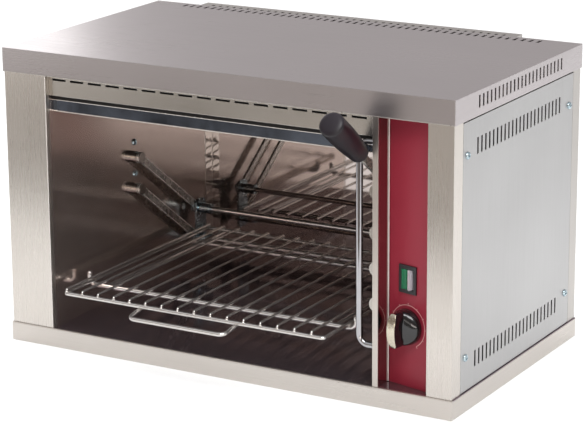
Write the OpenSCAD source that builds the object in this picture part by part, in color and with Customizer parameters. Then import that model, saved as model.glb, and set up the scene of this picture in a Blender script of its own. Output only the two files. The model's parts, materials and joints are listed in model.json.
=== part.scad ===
// Countertop salamander grill: a folded steel casing with an open cavity on the left,
// a control bay on the right, and a wire rack that a lever raises and lowers under
// the heating elements. Millimetres. X to the right, Y to the back, Z up.
// The origin is the centre of the base's bottom face.

/* [Casing] */
// Width of the lid and the base
body_w = 600; // [570:1:680]
// Depth of the lid and the base, without the rear duct
body_d = 344; // [330:1:420]
// Height of the casing
body_h = 366; // [360:1:420]
// Thickness of the sheet that the casing is folded from
sheet = 1.2; // [0.8:0.1:1.6]
// Height of the lid's skirt
lid_skirt = 29; // [24:1:36]
// Height of the base's skirt, without the deck
base_h = 22; // [16:1:32]
// Width of the flange round the open top of the base
base_flange = 26; // [20:1:40]
// Play between the lid's skirt and what stands inside it
lid_play = 0.2; // [0.1:0.05:0.5]
// Width of the left front post, from the casing's edge
left_post_w = 60; // [40:1:80]
// Width of the right front post, from the casing's edge
right_post_w = 33; // [28:1:40]
// Width of the control bay, from the casing's edge to the cavity
bay_w = 101; // [95:1:130]
// Depth of the front post's return on the right side
post_return = 22; // [16:1:30]
// Depth of the rear panel's return on the right side
rear_return = 20; // [16:1:30]
// Width of the joggled flanges behind the side panel
joggle = 18; // [14:1:24]
// Width of the open seam round the side panel
seam = 0.6; // [0.3:0.1:1.5]
// Gap between the lid's skirt and the top of the side panel
panel_drop = 2; // [1:0.5:6]

/* [Ventilation] */
// Width of a slot in the lid, the duct and the side panel
slot_w = 4; // [3:0.5:5]
// Pitch of the slots in the lid's skirt and the side panel
slot_pitch = 10.1; // [8:0.1:14]
// Number of slots in one row on the right side
slot_n = 23; // [10:1:24]
// Height of the slots in the lid's skirt
lid_slot_h = 14; // [8:1:18]
// Height of the slots in the side panel
side_slot_h = 19; // [10:1:40]
// Distance of each side panel slot row from the panel's nearest edge
side_slot_set = 32; // [24:1:50]
// Pitch of the slots in the lid's top and the duct
top_pitch = 10.4; // [8:0.1:14]
// Number of slots in the lid's top
top_n = 49; // [20:1:52]
// Length of a slot in the lid's top and the duct
top_slot_l = 14; // [8:1:18]
// Distance of the lid's top slots from its rear edge
top_slot_set = 13; // [11:1:30]
// Number of slots in the duct's top
duct_n = 41; // [20:1:42]

/* [Rear duct] */
// Depth of the duct behind the casing
duct_d = 36; // [30:1:60]
// How far the duct is wider than the cavity on each side
duct_side = 6; // [4:0.5:12]
// How far the duct's top lies below the lid's top
duct_drop = 4; // [2:1:10]
// Air gap between the cavity's rear wall and the duct's rear face
flue_gap = 3.6; // [2:0.1:20]

/* [Cavity] */
// Width of the narrow pillar between the cavity and the control recess
pillar_w = 7; // [6:0.5:12]
// Height of the roof reflector below the lid's skirt
roof_drop = 3.2; // [3:0.1:8]
// How far the valance stands back from the casing's front
valance_set = 9; // [8:1:14]
// Height of the valance below the lid's skirt
valance_h = 24.7; // [22:0.1:28]
// Number of the valance's dash slots
dash_n = 17; // [8:1:17]
// Pitch of the valance's dash slots
dash_pitch = 25.2; // [22:0.1:25.5]
// Length of a dash slot
dash_l = 19; // [10:1:20]
// Distance of the dash slots' middle to the left of the cavity's middle
dash_off = 3; // [0:0.5:6]
// Height of a dash slot
dash_h = 2.5; // [2:0.5:4]
// Drop of the dash slots below the lid's skirt
dash_drop = 5; // [4.8:0.1:8]
// Height of the front rail's face
rail_h = 15.3; // [8:0.1:16]
// Gap between the valance and the rail below it
rail_gap = 4.6; // [2:0.1:6]
// How far the rail stands behind the valance's face
rail_set = 4; // [3.5:0.5:12]
// Depth of the rail's lower flange
rail_flange = 15; // [8:1:20]

/* [Heating] */
// Diameter of the tubular heating elements
element_d = 6.5; // [6:0.5:9]
// Gap between the two legs of one element, centre to centre
leg_gap = 40; // [30:1:50]
// Distance of the first element leg behind the front rail
element_front = 55.3; // [40:0.1:70]
// Distance of the last element leg in front of the rear panel
element_back = 18.1; // [10:0.1:40]
// Drop of the elements below the roof reflector
element_drop = 18; // [12:1:22]
// Gap between an element's bend and the left wall
element_end = 30; // [20:1:50]
// Length of an element's cold end in the control bay
cold_end = 26; // [15:1:40]
// Diameter of an element's terminal stud
terminal_d = 4; // [3:0.5:5]
// Length of an element's terminal stud
terminal_l = 14; // [8:1:20]
// Distance of the element hangers from the side walls
hanger_set = 80; // [60:1:120]
// Play of the elements in the hangers and the wall
element_play = 0.3; // [0.2:0.05:0.5]

/* [Lift] */
// Length of a lift arm between its pivots
arm_len = 164.6; // [150:0.1:175]
// Slope of the arms below level with the rack at the bottom
lift_deg = 36; // [30:0.5:38]
// Angle that the lever turns to lift the rack to the top
lift_max = 57; // [45:1:60]
// Number of rack heights that the latch strip holds
lift_steps = 5; // [3:1:6]
// Height of the lower pivots above the deck
pivot_h = 133.8; // [128:0.1:150]
// Height of the upper pivots above the lower ones
pivot_gap = 41; // [36:1:44]
// Least gap between the couplers and the cavity's rear wall
lift_clear = 10.4; // [8:0.1:14]
// Width of an arm
arm_w = 10; // [8:0.5:14]
// Thickness of an arm
arm_t = 3; // [2:0.1:4]
// How much wider than the arm its pivot eyes are
eye_extra = 4; // [2:0.1:6]
// Stand-off of the left arms from the cavity's wall
arm_off_l = 9; // [8:0.5:14]
// Stand-off of the right arms from the cavity's wall
arm_off_r = 12; // [11.5:0.5:16]
// Diameter of the pivot studs
stud_d = 8; // [6:0.5:9]
// Diameter of the bush that spaces an arm from the wall
bush_d = 15; // [12:0.5:18]
// Diameter of a pivot stud's head
stud_head_d = 14; // [11:0.5:18]
// Height of a pivot stud's head
stud_head_h = 1.5; // [1:0.1:3]
// Diameter of a pivot stud's threaded tail
tail_d = 6; // [4:0.5:7]
// Diameter of the cross rods
rod_d = 7; // [6:0.5:8]
// Radial play of a pivot
run_play = 0.05; // [0.02:0.01:0.1]
// Side play between neighbouring pieces of the lift
side_play = 0.4; // [0.3:0.1:0.8]
// Radial play of pieces that are fixed on a rod or a shaft
fix_play = 0.02; // [0.01:0.01:0.05]
// Thickness of a coupler plate
coupler_t = 3; // [2:0.1:4]
// Reach of a coupler in front of its pivots
coupler_front = 9; // [8:0.5:12]
// Reach of a coupler behind its pivots
coupler_back = 14; // [10:0.5:18]
// Reach of a coupler above and below its pivots
coupler_end = 12; // [9:0.5:16]
// Length of a collar on a cross rod
collar_l = 18; // [8:1:18]
// Diameter of a collar on a cross rod
collar_d = 13; // [11:0.5:15]
// Thickness of a nut on a cross rod
nut_t = 4; // [3:0.5:5]
// Width of a nut across its flats
nut_w = 13; // [11:0.5:15]

/* [Lever and latch] */
// Distance of the grip's lower end in front of the casing, with the rack at the bottom
grip_out = 4.6; // [4:0.1:30]
// Length of the grip
grip_l = 82; // [60:1:95]
// Largest diameter of the grip
grip_d = 29.5; // [24:0.5:32]
// Depth of the grip's rounded end
grip_end = 6; // [4:0.5:12]
// Diameter of the grip's end at the lever
grip_neck_d = 22.5; // [18:0.5:24]
// Width of the lever's tang in the grip
tang_w = 8; // [6:0.5:8]
// Play of the tang in the grip
tang_play = 0.1; // [0.05:0.05:0.3]
// Diameter of the guard rod
guard_d = 8; // [6:0.2:9]
// Distance of the guard rod behind the casing's front
guard_set = 8; // [6:1:9]
// Bend radius of the guard rod
guard_bend = 12; // [9:1:14]
// Gap between the lever and the guard rod beside it
guard_gap = 0.9; // [0.5:0.1:1.5]
// Gap between the lever at each end of its travel and the guard rod's legs
guard_end = 10; // [5:1:14]
// Distance of the latch strip behind the casing's front
latch_set = 14; // [10:1:18]
// Depth of the latch strip
latch_d = 14; // [10:1:18]
// Thickness of the latch strip
latch_t = 2.4; // [1.5:0.1:3]
// Radius of a tooth of the latch strip
tooth_r = 9; // [7:0.5:11]
// Gap between the lever and the tips of the teeth
tooth_gap = 1; // [0.6:0.1:1.5]

/* [Rack] */
// Distance of the rack's front rim behind the casing's front
rack_set = 2; // [1:1:20]
// Reach of the rack's rear rim behind the cross rods
rack_over = 13; // [8:0.5:15]
// Gap between the rack's left side and the coupler and stud heads that it passes
rack_play = 0.8; // [0.6:0.1:6]
// Width left free on the right of the rack for the lever
lever_lane = 60; // [54:1:90]
// Diameter of the rack's rim
rim_d = 5; // [4:0.5:6]
// Bend radius of the rim's corners
rim_bend = 5; // [4:0.5:10]
// Diameter of the rack's wires
wire_d = 3.2; // [2.5:0.1:4]
// Pitch of the rack's wires
wire_pitch = 22.6; // [18:0.1:30]
// Distance of the first wire from the left rim
wire_first = 2.6; // [2:0.1:12]
// Height of a wire's centre above the rim's centre
wire_rise = 5.5; // [5:0.1:7]
// Bend radius at the ends of the wires
wire_bend = 2.6; // [2:0.1:3]
// Depth that welded wires sink into each other
weld = 1; // [0.5:0.1:1.4]
// Gap between the rack and what it rests on or stops at
seat = 0.3; // [0.2:0.05:0.5]
// Width of the rack's handle loop
handle_w = 132; // [100:1:160]
// Reach of the handle loop in front of the rim
handle_reach = 26; // [20:1:36]
// Downward slope of the handle loop
handle_deg = 8; // [6:1:20]
// Distance of the handle's middle to the left of the rack's middle
handle_shift = 5; // [0:1:20]

/* [Carrier] */
// Diameter of the carrier's side rods
bar_d = 6; // [5:0.5:7]
// Diameter of the carrier's front rod
front_d = 6.4; // [5.5:0.1:7.5]
// Height of the side rods' centre above the lower cross rod's centre
bar_rise = 4.2; // [3:0.1:5]
// Distance of each side rod from the rim of the rack beside it
bar_set = 19; // [18:1:40]
// Distance of the carrier's front rod behind the rack's front rim
front_set = 64; // [40:1:80]
// Distance of the carrier's rear rod in front of the lower cross rod
rear_set = 34; // [28:1:44]
// Length of the rear rod's ends outside the side rods
rear_over = 13; // [6:1:14]
// Bend radius of the front rod's upturned ends
front_bend = 8; // [6:0.5:10]
// Gap between the rack and the upturned ends
guide_gap = 1.8; // [1:0.1:3]
// Height of the upturned ends above the front rod's centre
guide_h = 16; // [12:1:24]
// Diameter of the pegs that stop the rack at the back
peg_d = 5; // [4:0.5:6]
// Height of those pegs above the side rods' centre
peg_h = 9; // [7:0.5:14]

/* [Controls] */
// How far the control panel stands back at the pillar
panel_set = 28; // [24:1:36]
// Turn of the control panel towards the cavity
panel_deg = 14; // [10:0.5:16]
// Thickness of the control panel
panel_t = 1.5; // [1:0.1:2.5]
// Distance of the controls from the panel's edge at the pillar
control_x = 29; // [28:0.5:33]
// Height of the knob's axis
knob_z = 95; // [80:1:120]
// Height of the switch's centre
switch_z = 150; // [145:1:260]
// Diameter of the knob's skirt
knob_d = 42; // [38:0.5:46]
// Height of the knob's skirt
skirt_h = 9; // [6:0.5:12]
// Length of the knob's grip bar
bar_l = 41; // [34:0.5:43]
// Width of the knob's grip bar
bar_w = 11; // [9:0.5:14]
// Height of the whole knob with its metal face
knob_h = 29.5; // [20:0.5:32]
// Thickness of the knob's metal face
face_t = 1; // [0.6:0.1:2]
// Gap between the knob and the panel
knob_gap = 1.2; // [0.5:0.1:2]
// Diameter of the regulator's shaft
shaft_d = 6; // [5:0.5:6.5]
// Side of the regulator's housing
regulator_w = 44; // [38:1:46]
// Depth of the regulator's housing
regulator_d = 32; // [24:1:44]
// Diameter of the regulator's threaded neck
neck_d = 10; // [9:0.5:11]
// Width of the switch's bezel
bezel_w = 25; // [24:0.5:28]
// Height of the switch's bezel
bezel_h = 32.5; // [31:0.5:35]
// Thickness of the switch's bezel
bezel_t = 2; // [1.5:0.1:3]
// Width of the switch's housing in its cut-out
switch_w = 22; // [21:0.1:23]
// Height of the switch's housing in its cut-out
switch_h = 30; // [28:0.1:30.5]
// Depth of the switch's housing
switch_d = 24; // [20:1:30]
// Half width of the rocker's top
rocker_half = 7; // [6:0.1:7.2]
// Length of the rocker along its axis
rocker_l = 23; // [18:0.5:24]
// Height of the rocker above its axis
rocker_top = 7; // [5:0.1:8]
// Tilt of the rocker to each side
rocker_tilt = 12; // [8:0.5:13]
// Play round the rocker, the cut-outs and the screws
play = 0.2; // [0.1:0.05:0.4]

/* [Supply] */
// Width of the terminal block
block_w = 46; // [36:1:56]
// Depth of the terminal block
block_d = 24; // [18:1:32]
// Height of the terminal block
block_h = 22; // [16:1:30]
// Distance of the terminal block in front of the rear panel
block_set = 60; // [40:1:90]
// Diameter of the cable gland's bore
gland_bore = 10; // [7:0.5:12]
// Diameter of the cable gland's thread
gland_thread = 16; // [15:0.5:18]
// Height of the cable gland above the deck
gland_z = 42; // [25:1:80]
// Distance of the lid's screws from its sides
lid_screw_set = 24; // [18:1:40]
// Diameter of the screw heads
screw_head_d = 9; // [7:0.5:11]
// Height of the screw heads
screw_head_h = 2.6; // [1.5:0.1:3.5]
// Diameter of the screw shanks
screw_d = 4; // [3:0.5:5]

/* [Hidden] */
$fn = 48;

// Planes of the casing
hw = body_w / 2;
yf = -body_d / 2;
yr = body_d / 2;
inset = sheet + lid_play;
deck_z = base_h + sheet;
lid_z = body_h - lid_skirt;
under_lid = body_h - sheet;
post_x = hw - inset;
post_y = yf + inset;
back_y = yr - inset;
over = 1;

// Planes of the cavity
cav_l = -hw + left_post_w;
cav_r = hw - bay_w;
cav_mid = (cav_l + cav_r) / 2;
pillar_r = cav_r + pillar_w;
duct_y = yr + duct_d;
cav_back = duct_y - 2 * sheet - flue_gap;
roof_z = lid_z - roof_drop;
valance_y = yf + valance_set;
valance_z = lid_z - valance_h;
rail_y = valance_y + rail_set;
rail_z = valance_z - rail_gap - rail_h;
element_z = roof_z - element_drop;
element_y0 = rail_y + rail_flange + element_front;
element_y1 = back_y - sheet - element_back;
element_mid = (element_y0 + element_y1) / 2;
element_pitch = (element_y1 - element_y0 - leg_gap) / 2;
post_in = hw - right_post_w;

// Side panel
side_y0 = post_y + post_return + seam;
side_y1 = back_y - rear_return - seam;
side_z0 = deck_z + seam;
side_z1 = lid_z - panel_drop;
screw_y = [side_y0 + joggle - 7, side_y1 - joggle + 7];
screw_z = [side_z0 + side_slot_set + 8, side_z1 - side_slot_set - 6];

// Lift pivots, at rest with the rack at the bottom
pivot_y = cav_back - lift_clear - coupler_back - arm_len;
pivot_lo = deck_z + pivot_h;
pivot_hi = pivot_lo + pivot_gap;
carry_y = pivot_y + arm_len * cos(lift_deg);
carry_lo = pivot_lo - arm_len * sin(lift_deg);
carry_hi = carry_lo + pivot_gap;
arm_xl = cav_l + arm_off_l;
arm_xr = cav_r - arm_off_r - arm_t;
coupler_xl = arm_xl + arm_t + side_play;
coupler_xr = arm_xr - side_play - coupler_t;
eye_d = arm_w + eye_extra;
lever_reach = (pivot_y - yf + grip_out) / cos(lift_deg) + grip_l;

// Guard rod and latch strip, from the lever's travel
guard_y = yf + guard_set;
guard_x = arm_xr - guard_gap - guard_d / 2;
guard_hi = lever_z(guard_y, 0) + arm_w / 2 / cos(lift_deg) + guard_end + guard_d / 2;
guard_lo = lever_z(guard_y, lift_max) - arm_w / 2 / cos(lift_max - lift_deg) - guard_end - guard_d / 2;
latch_y = yf + latch_set;
latch_top = min(guard_hi - guard_end, rail_z - side_play);
tooth_x = arm_xr + arm_t + tooth_gap + tooth_r;

// Rack and carrier
bar_z = carry_lo + bar_rise;
rim_z = bar_z + bar_d / 2 + seat + rim_d / 2;
rack_y0 = yf + rack_set;
rack_y1 = carry_y + rack_over;
peg_y = rack_y1 + rim_d / 2 + seat + peg_d / 2;
rack_x0 = arm_xl + arm_t + side_play + max(stud_head_h, coupler_t) + rack_play + rim_d / 2;
rack_x1 = cav_r - lever_lane - rim_d / 2;
rack_mid = (rack_x0 + rack_x1) / 2;
wire_n = floor((rack_x1 - rack_x0 - wire_first - wire_d) / wire_pitch) + 1;
wire_z = rim_z + wire_rise;
front_y = rack_y0 + front_set;
front_z = bar_z + (bar_d - front_d) / 2;
bar_xl = rack_x0 + bar_set;
bar_xr = rack_x1 - bar_set;
guide_xl = rack_x0 - rim_d / 2 - guide_gap - front_d / 2;
guide_xr = rack_x1 + rim_d / 2 + guide_gap + front_d / 2;

// Controls, in the panel's own frame
knob_face_y = -knob_gap - knob_h;
knob_skirt_y = -knob_gap - skirt_h;
neck_out = 3;
nut_out = 2.5;
pocket_half = 9;
pocket_l = rocker_l + 2 * play;
rocker_y = 3;
gland_x = (cav_r + duct_side + post_x) / 2;
block_x = (pillar_r + post_x) / 2;

// Height of the lever's middle line at depth y after a turn of a degrees
function lever_z(y, a) = pivot_lo + (pivot_y - y) * tan(lift_deg - a);
// Depth of the control panel's front face at x
function panel_y(x) = yf + panel_set - (x - pillar_r) * tan(panel_deg);
// Radius of the grip's body at the distance y from the lever
function grip_r(y) = grip_neck_d / 2 + (grip_d - grip_neck_d) / 2 * sin(90 * min(1, y / (0.7 * grip_l)));
// Share of the grip's radius that is left at the share t of its rounded end
function grip_round(t) = pow(max(0, 1 - pow(t, 3)), 1 / 3);

// A box between two corners
module slab(x0, x1, y0, y1, z0, z1) {
    translate([x0, y0, z0]) cube([x1 - x0, y1 - y0, z1 - z0]);
}

// A rod along X, from x0 to x1
module rod_x(x0, x1, y, z, d, n = 48) {
    translate([x0, y, z]) rotate([0, 90, 0]) cylinder(d = d, h = x1 - x0, $fn = n);
}

// A rod along Y, from y0 to y1
module rod_y(x, y0, y1, z, d, n = 48) {
    translate([x, y0, z]) rotate([-90, 0, 0]) cylinder(d = d, h = y1 - y0, $fn = n);
}

// A rod along Z, from z0 to z1
module rod_z(x, y, z0, z1, d, n = 48) {
    translate([x, y, z0]) cylinder(d = d, h = z1 - z0, $fn = n);
}

// A quarter bend of round rod, in the plane of its own X and Y
module bend(r, d, a = 90) {
    rotate_extrude(angle = a) translate([r, 0]) circle(d = d);
}

// A quarter bend with its two straight legs, a towards its own -Y and b towards its own -X
module elbow(r, d, a, b, n = 48) {
    bend(r, d, $fn = n);
    rod_y(r, -a, 0, 0, d, n);
    rod_x(-b, 0, r, 0, d, n);
}

// The control panel's own frame: X along the panel, Y into the casing
module at_panel() {
    translate([pillar_r, yf + panel_set, 0]) rotate([0, 0, -panel_deg]) children();
}

// A round rod along the panel's Y, from y0 to y1
module pin_y(x, z, y0, y1, d1, d2 = 0, n = 48) {
    translate([x, y0, z]) rotate([-90, 0, 0]) cylinder(d1 = d1, d2 = d2 == 0 ? d1 : d2, h = y1 - y0, $fn = n);
}

// A screw with a flat head, seated at the origin and pointing down
module screw(len) {
    cylinder(d = screw_head_d, h = screw_head_h);
    translate([0, 0, -len]) cylinder(d = screw_d, h = len);
}

module base_tray() {
    color("#bdb7b0") difference() {
        slab(-hw, hw, yf, yr, 0, base_h);
        slab(-hw + sheet, hw - sheet, yf + sheet, yr - sheet, sheet, base_h - sheet);
        slab(-hw + base_flange, hw - base_flange, yf + base_flange, yr - base_flange, base_h / 2,
            base_h + over);
    }
}

module deck() {
    color("#4c4644") union() {
        slab(-hw, hw, yf, yr, base_h, deck_z);
        slab(cav_l - duct_side, cav_r + duct_side, yr - over, duct_y, base_h, deck_z);
    }
}

module lid() {
    slot_z = body_h - lid_skirt / 2 + 1.5;
    color("#a39c98") difference() {
        slab(-hw, hw, yf, yr, lid_z, body_h);
        slab(-hw + sheet, hw - sheet, yf + sheet, yr - sheet, lid_z - over, under_lid);
        for (i = [0 : top_n - 1]) {
            x = (i - (top_n - 1) / 2) * top_pitch;
            slab(x - slot_w / 2, x + slot_w / 2, yr - top_slot_set - top_slot_l / 2,
                yr - top_slot_set + top_slot_l / 2,
                 under_lid - over, body_h + over);
        }
        for (i = [0 : slot_n - 1]) {
            y = (i - (slot_n - 1) / 2) * slot_pitch;
            slab(hw - sheet - over, hw + over, y - slot_w / 2, y + slot_w / 2, slot_z - lid_slot_h / 2,
                slot_z + lid_slot_h / 2);
        }
        for (s = [-1, 1]) {
            translate([s * (hw - lid_screw_set), yr, lid_z + lid_skirt / 2]) rotate([90, 0, 0])
                cylinder(d = screw_d + 2 * play, h = 4 * sheet, center = true);
        }
    }
}

module left_shell() {
    color("#b4aca4") difference() {
        union() {
            slab(-post_x, cav_l, post_y, post_y + sheet, deck_z, under_lid);
            slab(-post_x, -post_x + sheet, post_y, back_y, deck_z, under_lid);
            slab(-post_x, cav_l - sheet - play, back_y - sheet, back_y, deck_z, under_lid);
        }
        translate([-hw + lid_screw_set, back_y, lid_z + lid_skirt / 2]) rotate([90, 0, 0])
            cylinder(d = screw_d + 2 * play, h = 4 * sheet, center = true);
    }
}

module right_post() {
    color("#c9c4bf") difference() {
        union() {
            slab(post_in, post_x, post_y, post_y + sheet, deck_z, under_lid);
            slab(post_x - sheet, post_x, post_y, post_y + post_return, deck_z, under_lid);
            slab(post_x - 2 * sheet, post_x - sheet, post_y + post_return - 8,
                post_y + post_return + joggle, side_z0, side_z1);
            slab(post_in, post_in + sheet, post_y, panel_y(post_in + sheet) - seat, deck_z, under_lid);
        }
        for (z = screw_z) rod_x(post_x - 4 * sheet, post_x + over, screw_y[0], z, screw_d + 2 * play);
    }
}

module side_panel() {
    rows = [side_z0 + side_slot_set, side_z1 - side_slot_set];
    color("#c6c4c4") difference() {
        slab(post_x - sheet, post_x, side_y0, side_y1, side_z0, side_z1);
        for (z = rows) for (i = [0 : slot_n - 1]) {
            y = (i - (slot_n - 1) / 2) * slot_pitch;
            slab(post_x - sheet - over, post_x + over, y - slot_w / 2, y + slot_w / 2,
                z - side_slot_h / 2, z + side_slot_h / 2);
        }
        for (y = screw_y) for (z = screw_z) rod_x(post_x - 2 * sheet, post_x + over, y, z,
            screw_d + 2 * play);
    }
}

module rear_panel() {
    color("#aaa6a3") difference() {
        union() {
            slab(cav_r + sheet + play, post_x, back_y - sheet, back_y, deck_z, under_lid);
            slab(post_x - sheet, post_x, back_y - rear_return, back_y, deck_z, under_lid);
            slab(post_x - 2 * sheet, post_x - sheet, back_y - rear_return - joggle,
                back_y - rear_return + 8, side_z0, side_z1);
        }
        for (z = screw_z) rod_x(post_x - 4 * sheet, post_x + over, screw_y[1], z, screw_d + 2 * play);
        rod_y(gland_x, back_y - 3 * sheet, back_y + over, deck_z + gland_z, gland_thread + 2 * play);
        translate([hw - lid_screw_set, back_y, lid_z + lid_skirt / 2]) rotate([90, 0, 0])
            cylinder(d = screw_d + 2 * play, h = 4 * sheet, center = true);
    }
}

module rear_duct() {
    x0 = cav_l - duct_side;
    x1 = cav_r + duct_side;
    z1 = body_h - duct_drop;
    y_mid = (yr + lid_play + duct_y - sheet) / 2;
    color("#8f8b89") difference() {
        slab(x0, x1, back_y, duct_y, deck_z, z1);
        slab(x0 + sheet, x1 - sheet, back_y - over, duct_y - sheet, deck_z - over, z1 - sheet);
        slab(x0 - over, x1 + over, back_y - over, yr + lid_play, lid_z - lid_play, z1 + over);
        for (i = [0 : duct_n - 1]) {
            x = cav_mid + (i - (duct_n - 1) / 2) * top_pitch;
            slab(x - slot_w / 2, x + slot_w / 2, y_mid - top_slot_l / 2, y_mid + top_slot_l / 2,
                z1 - 2 * sheet, z1 + over);
        }
    }
}

module cavity_left_wall() {
    color("#8a7d72") difference() {
        slab(cav_l - sheet, cav_l, post_y + sheet, cav_back, deck_z, roof_z + sheet);
        for (z = [pivot_lo, pivot_hi]) rod_x(cav_l - 2 * sheet, cav_l + over, pivot_y, z, tail_d + 2 * play);
        for (z = [pivot_lo, pivot_hi]) rod_x(cav_l - 2 * sheet, cav_l + over, pivot_y + 3, z + 18,
            screw_d + 2 * play);
    }
}

module cavity_right_wall() {
    color("#8a7d72") difference() {
        union() {
            slab(cav_r, cav_r + sheet, post_y, cav_back, deck_z, roof_z + sheet);
            slab(cav_r, pillar_r, post_y, post_y + sheet, deck_z, under_lid);
            slab(pillar_r - sheet, pillar_r, post_y, yf + panel_set + 5, deck_z, under_lid);
        }
        for (z = [pivot_lo, pivot_hi]) rod_x(cav_r - over, cav_r + 2 * sheet, pivot_y, z, tail_d + 2 * play);
        for (z = [pivot_lo, pivot_hi]) rod_x(cav_r - over, cav_r + 2 * sheet, pivot_y + 3, z + 18,
            screw_d + 2 * play);
        element_legs() rod_x(cav_r - over, cav_r + 2 * sheet, 0, element_z, element_d + 2 * element_play);
    }
}

module cavity_rear_wall() {
    color("#7d746c") slab(cav_l - sheet, cav_r + sheet, cav_back, cav_back + sheet, deck_z, roof_z + sheet);
}

module roof_reflector() {
    color("#9c958d") slab(cav_l, cav_r, valance_y + sheet, cav_back, roof_z, roof_z + sheet);
}

module valance() {
    z = lid_z - dash_drop;
    color("#a79d93") difference() {
        slab(cav_l, cav_r, valance_y, valance_y + sheet, valance_z, roof_z + sheet);
        for (i = [0 : dash_n - 1]) {
            x = cav_mid - dash_off + (i - (dash_n - 1) / 2) * dash_pitch;
            slab(x - dash_l / 2, x + dash_l / 2, valance_y - over, valance_y + sheet + over,
                z - dash_h / 2, z + dash_h / 2);
        }
    }
}

module front_rail() {
    color("#3f4148") union() {
        slab(cav_l, cav_r, rail_y, rail_y + sheet, rail_z, rail_z + rail_h);
        slab(cav_l, cav_r, rail_y, rail_y + rail_flange, rail_z, rail_z + sheet);
    }
}

// Copies its children to the depth of each element leg
module element_legs() {
    for (i = [-1, 0, 1]) for (s = [-1, 1])
        translate([0, element_mid + i * element_pitch + s * leg_gap / 2, 0]) children();
}

module heating_elements() {
    bend_x = cav_l + element_end + leg_gap / 2;
    color("#5d5652") for (i = [-1, 0, 1]) translate([0, element_mid + i * element_pitch, element_z]) union() {
        for (s = [-1, 1]) rod_x(bend_x, cav_r + cold_end, s * leg_gap / 2, 0, element_d);
        translate([bend_x, 0, 0]) rotate([0, 0, 90]) bend(leg_gap / 2, element_d, 180);
    }
}

module element_terminals() {
    color("#c9b27a") element_legs() rod_x(cav_r + cold_end, cav_r + cold_end + terminal_l, 0, element_z,
        terminal_d);
}

module element_hangers() {
    y_half = element_pitch + leg_gap / 2 + 9;
    color("#87817b") for (x = [cav_l + hanger_set, cav_r - hanger_set - sheet]) difference() {
        slab(x, x + sheet, element_mid - y_half, element_mid + y_half, element_z - element_d / 2 - 5, roof_z);
        element_legs() rod_x(x - over, x + sheet + over, 0, element_z, element_d + 2 * element_play);
    }
}

module control_panel() {
    panel_l = (post_in + 8 - pillar_r) / cos(panel_deg);
    color("#87303a") at_panel() difference() {
        slab(seat, panel_l, 0, panel_t, deck_z, lid_z + 12);
        slab(control_x - switch_w / 2 - play, control_x + switch_w / 2 + play, -over, panel_t + over,
             switch_z - switch_h / 2 - play, switch_z + switch_h / 2 + play);
        pin_y(control_x, knob_z, -over, panel_t + over, neck_d + 2 * play);
    }
}

module switch_body() {
    color("#1b1b1d") at_panel() translate([control_x, 0, switch_z]) difference() {
        union() {
            slab(-bezel_w / 2, bezel_w / 2, -bezel_t, 0, -bezel_h / 2, bezel_h / 2);
            slab(-switch_w / 2, switch_w / 2, 0, switch_d, -switch_h / 2, switch_h / 2);
        }
        slab(-pocket_half, pocket_half, -bezel_t - over, switch_d - 8, -pocket_l / 2, pocket_l / 2);
        rod_z(0, rocker_y, -pocket_l / 2 - 2, pocket_l / 2 + 2, 3 + 2 * run_play);
    }
}

module switch_rocker() {
    h = rocker_half;
    color("#0d7a4d") at_panel() translate([control_x, rocker_y, switch_z]) rotate([0, 0, -rocker_tilt])
        union() {
        translate([0, 0, -rocker_l / 2]) linear_extrude(rocker_l)
            polygon([[-h, -rocker_top], [0, -rocker_top + 1.4], [h, -rocker_top], [h - 1, 0], [3, 4],
                [-3, 4], [-h + 1, 0]]);
        rod_z(0, 0, -pocket_l / 2 - 1.6, pocket_l / 2 + 1.6, 3);
    }
}

module regulator() {
    w = regulator_w / 2;
    color("#d8d2c4") at_panel() translate([control_x, 0, knob_z]) difference() {
        union() {
            slab(-w, w, panel_t, panel_t + regulator_d, -w, w);
            pin_y(0, 0, -neck_out, panel_t + over, neck_d);
            pin_y(0, 0, -nut_out, 0, neck_d + 6, n = 6);
        }
        pin_y(0, 0, -neck_out - over, panel_t + 14, shaft_d + 2 * run_play);
    }
}

module regulator_shaft() {
    color("#b5b5b5") at_panel() pin_y(control_x, knob_z, knob_skirt_y - 6, panel_t + 13, shaft_d);
}

module knob() {
    color("#141415") at_panel() translate([control_x, 0, knob_z]) difference() {
        union() {
            pin_y(0, 0, knob_skirt_y, -knob_gap, knob_d - 5, knob_d);
            intersection() {
                slab(-bar_w / 2, bar_w / 2, knob_face_y + face_t, knob_skirt_y + over, -bar_l, bar_l);
                pin_y(0, 0, knob_face_y, knob_skirt_y + 2 * over, bar_l);
            }
        }
        pin_y(0, 0, -neck_out - 1.5, over, neck_d + 10);
        pin_y(0, 0, knob_skirt_y - 6 - seat, over, shaft_d + 2 * fix_play);
    }
}

module knob_face() {
    color("#cfcac2") at_panel() translate([control_x, 0, knob_z]) intersection() {
        slab(-bar_w / 2, bar_w / 2, knob_face_y, knob_face_y + face_t, -bar_l, bar_l);
        pin_y(0, 0, knob_face_y - over, knob_face_y + face_t + over, bar_l);
    }
}

module terminal_block() {
    color("#e6e1d5") difference() {
        slab(block_x - block_w / 2, block_x + block_w / 2, back_y - block_set - block_d,
            back_y - block_set, deck_z, deck_z + block_h);
        terminal_places() translate([0, 0, -8]) cylinder(d = 5 + 2 * fix_play, h = 8 + over);
    }
}

module terminal_screws() {
    color("#c2a457") terminal_places() translate([0, 0, -8]) cylinder(d = 5, h = 7);
}

// Copies its children to the top of each pole of the terminal block
module terminal_places() {
    for (i = [-1, 0, 1]) translate([block_x + i * block_w / 3, back_y - block_set - block_d / 2,
        deck_z + block_h]) children();
}

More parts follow.
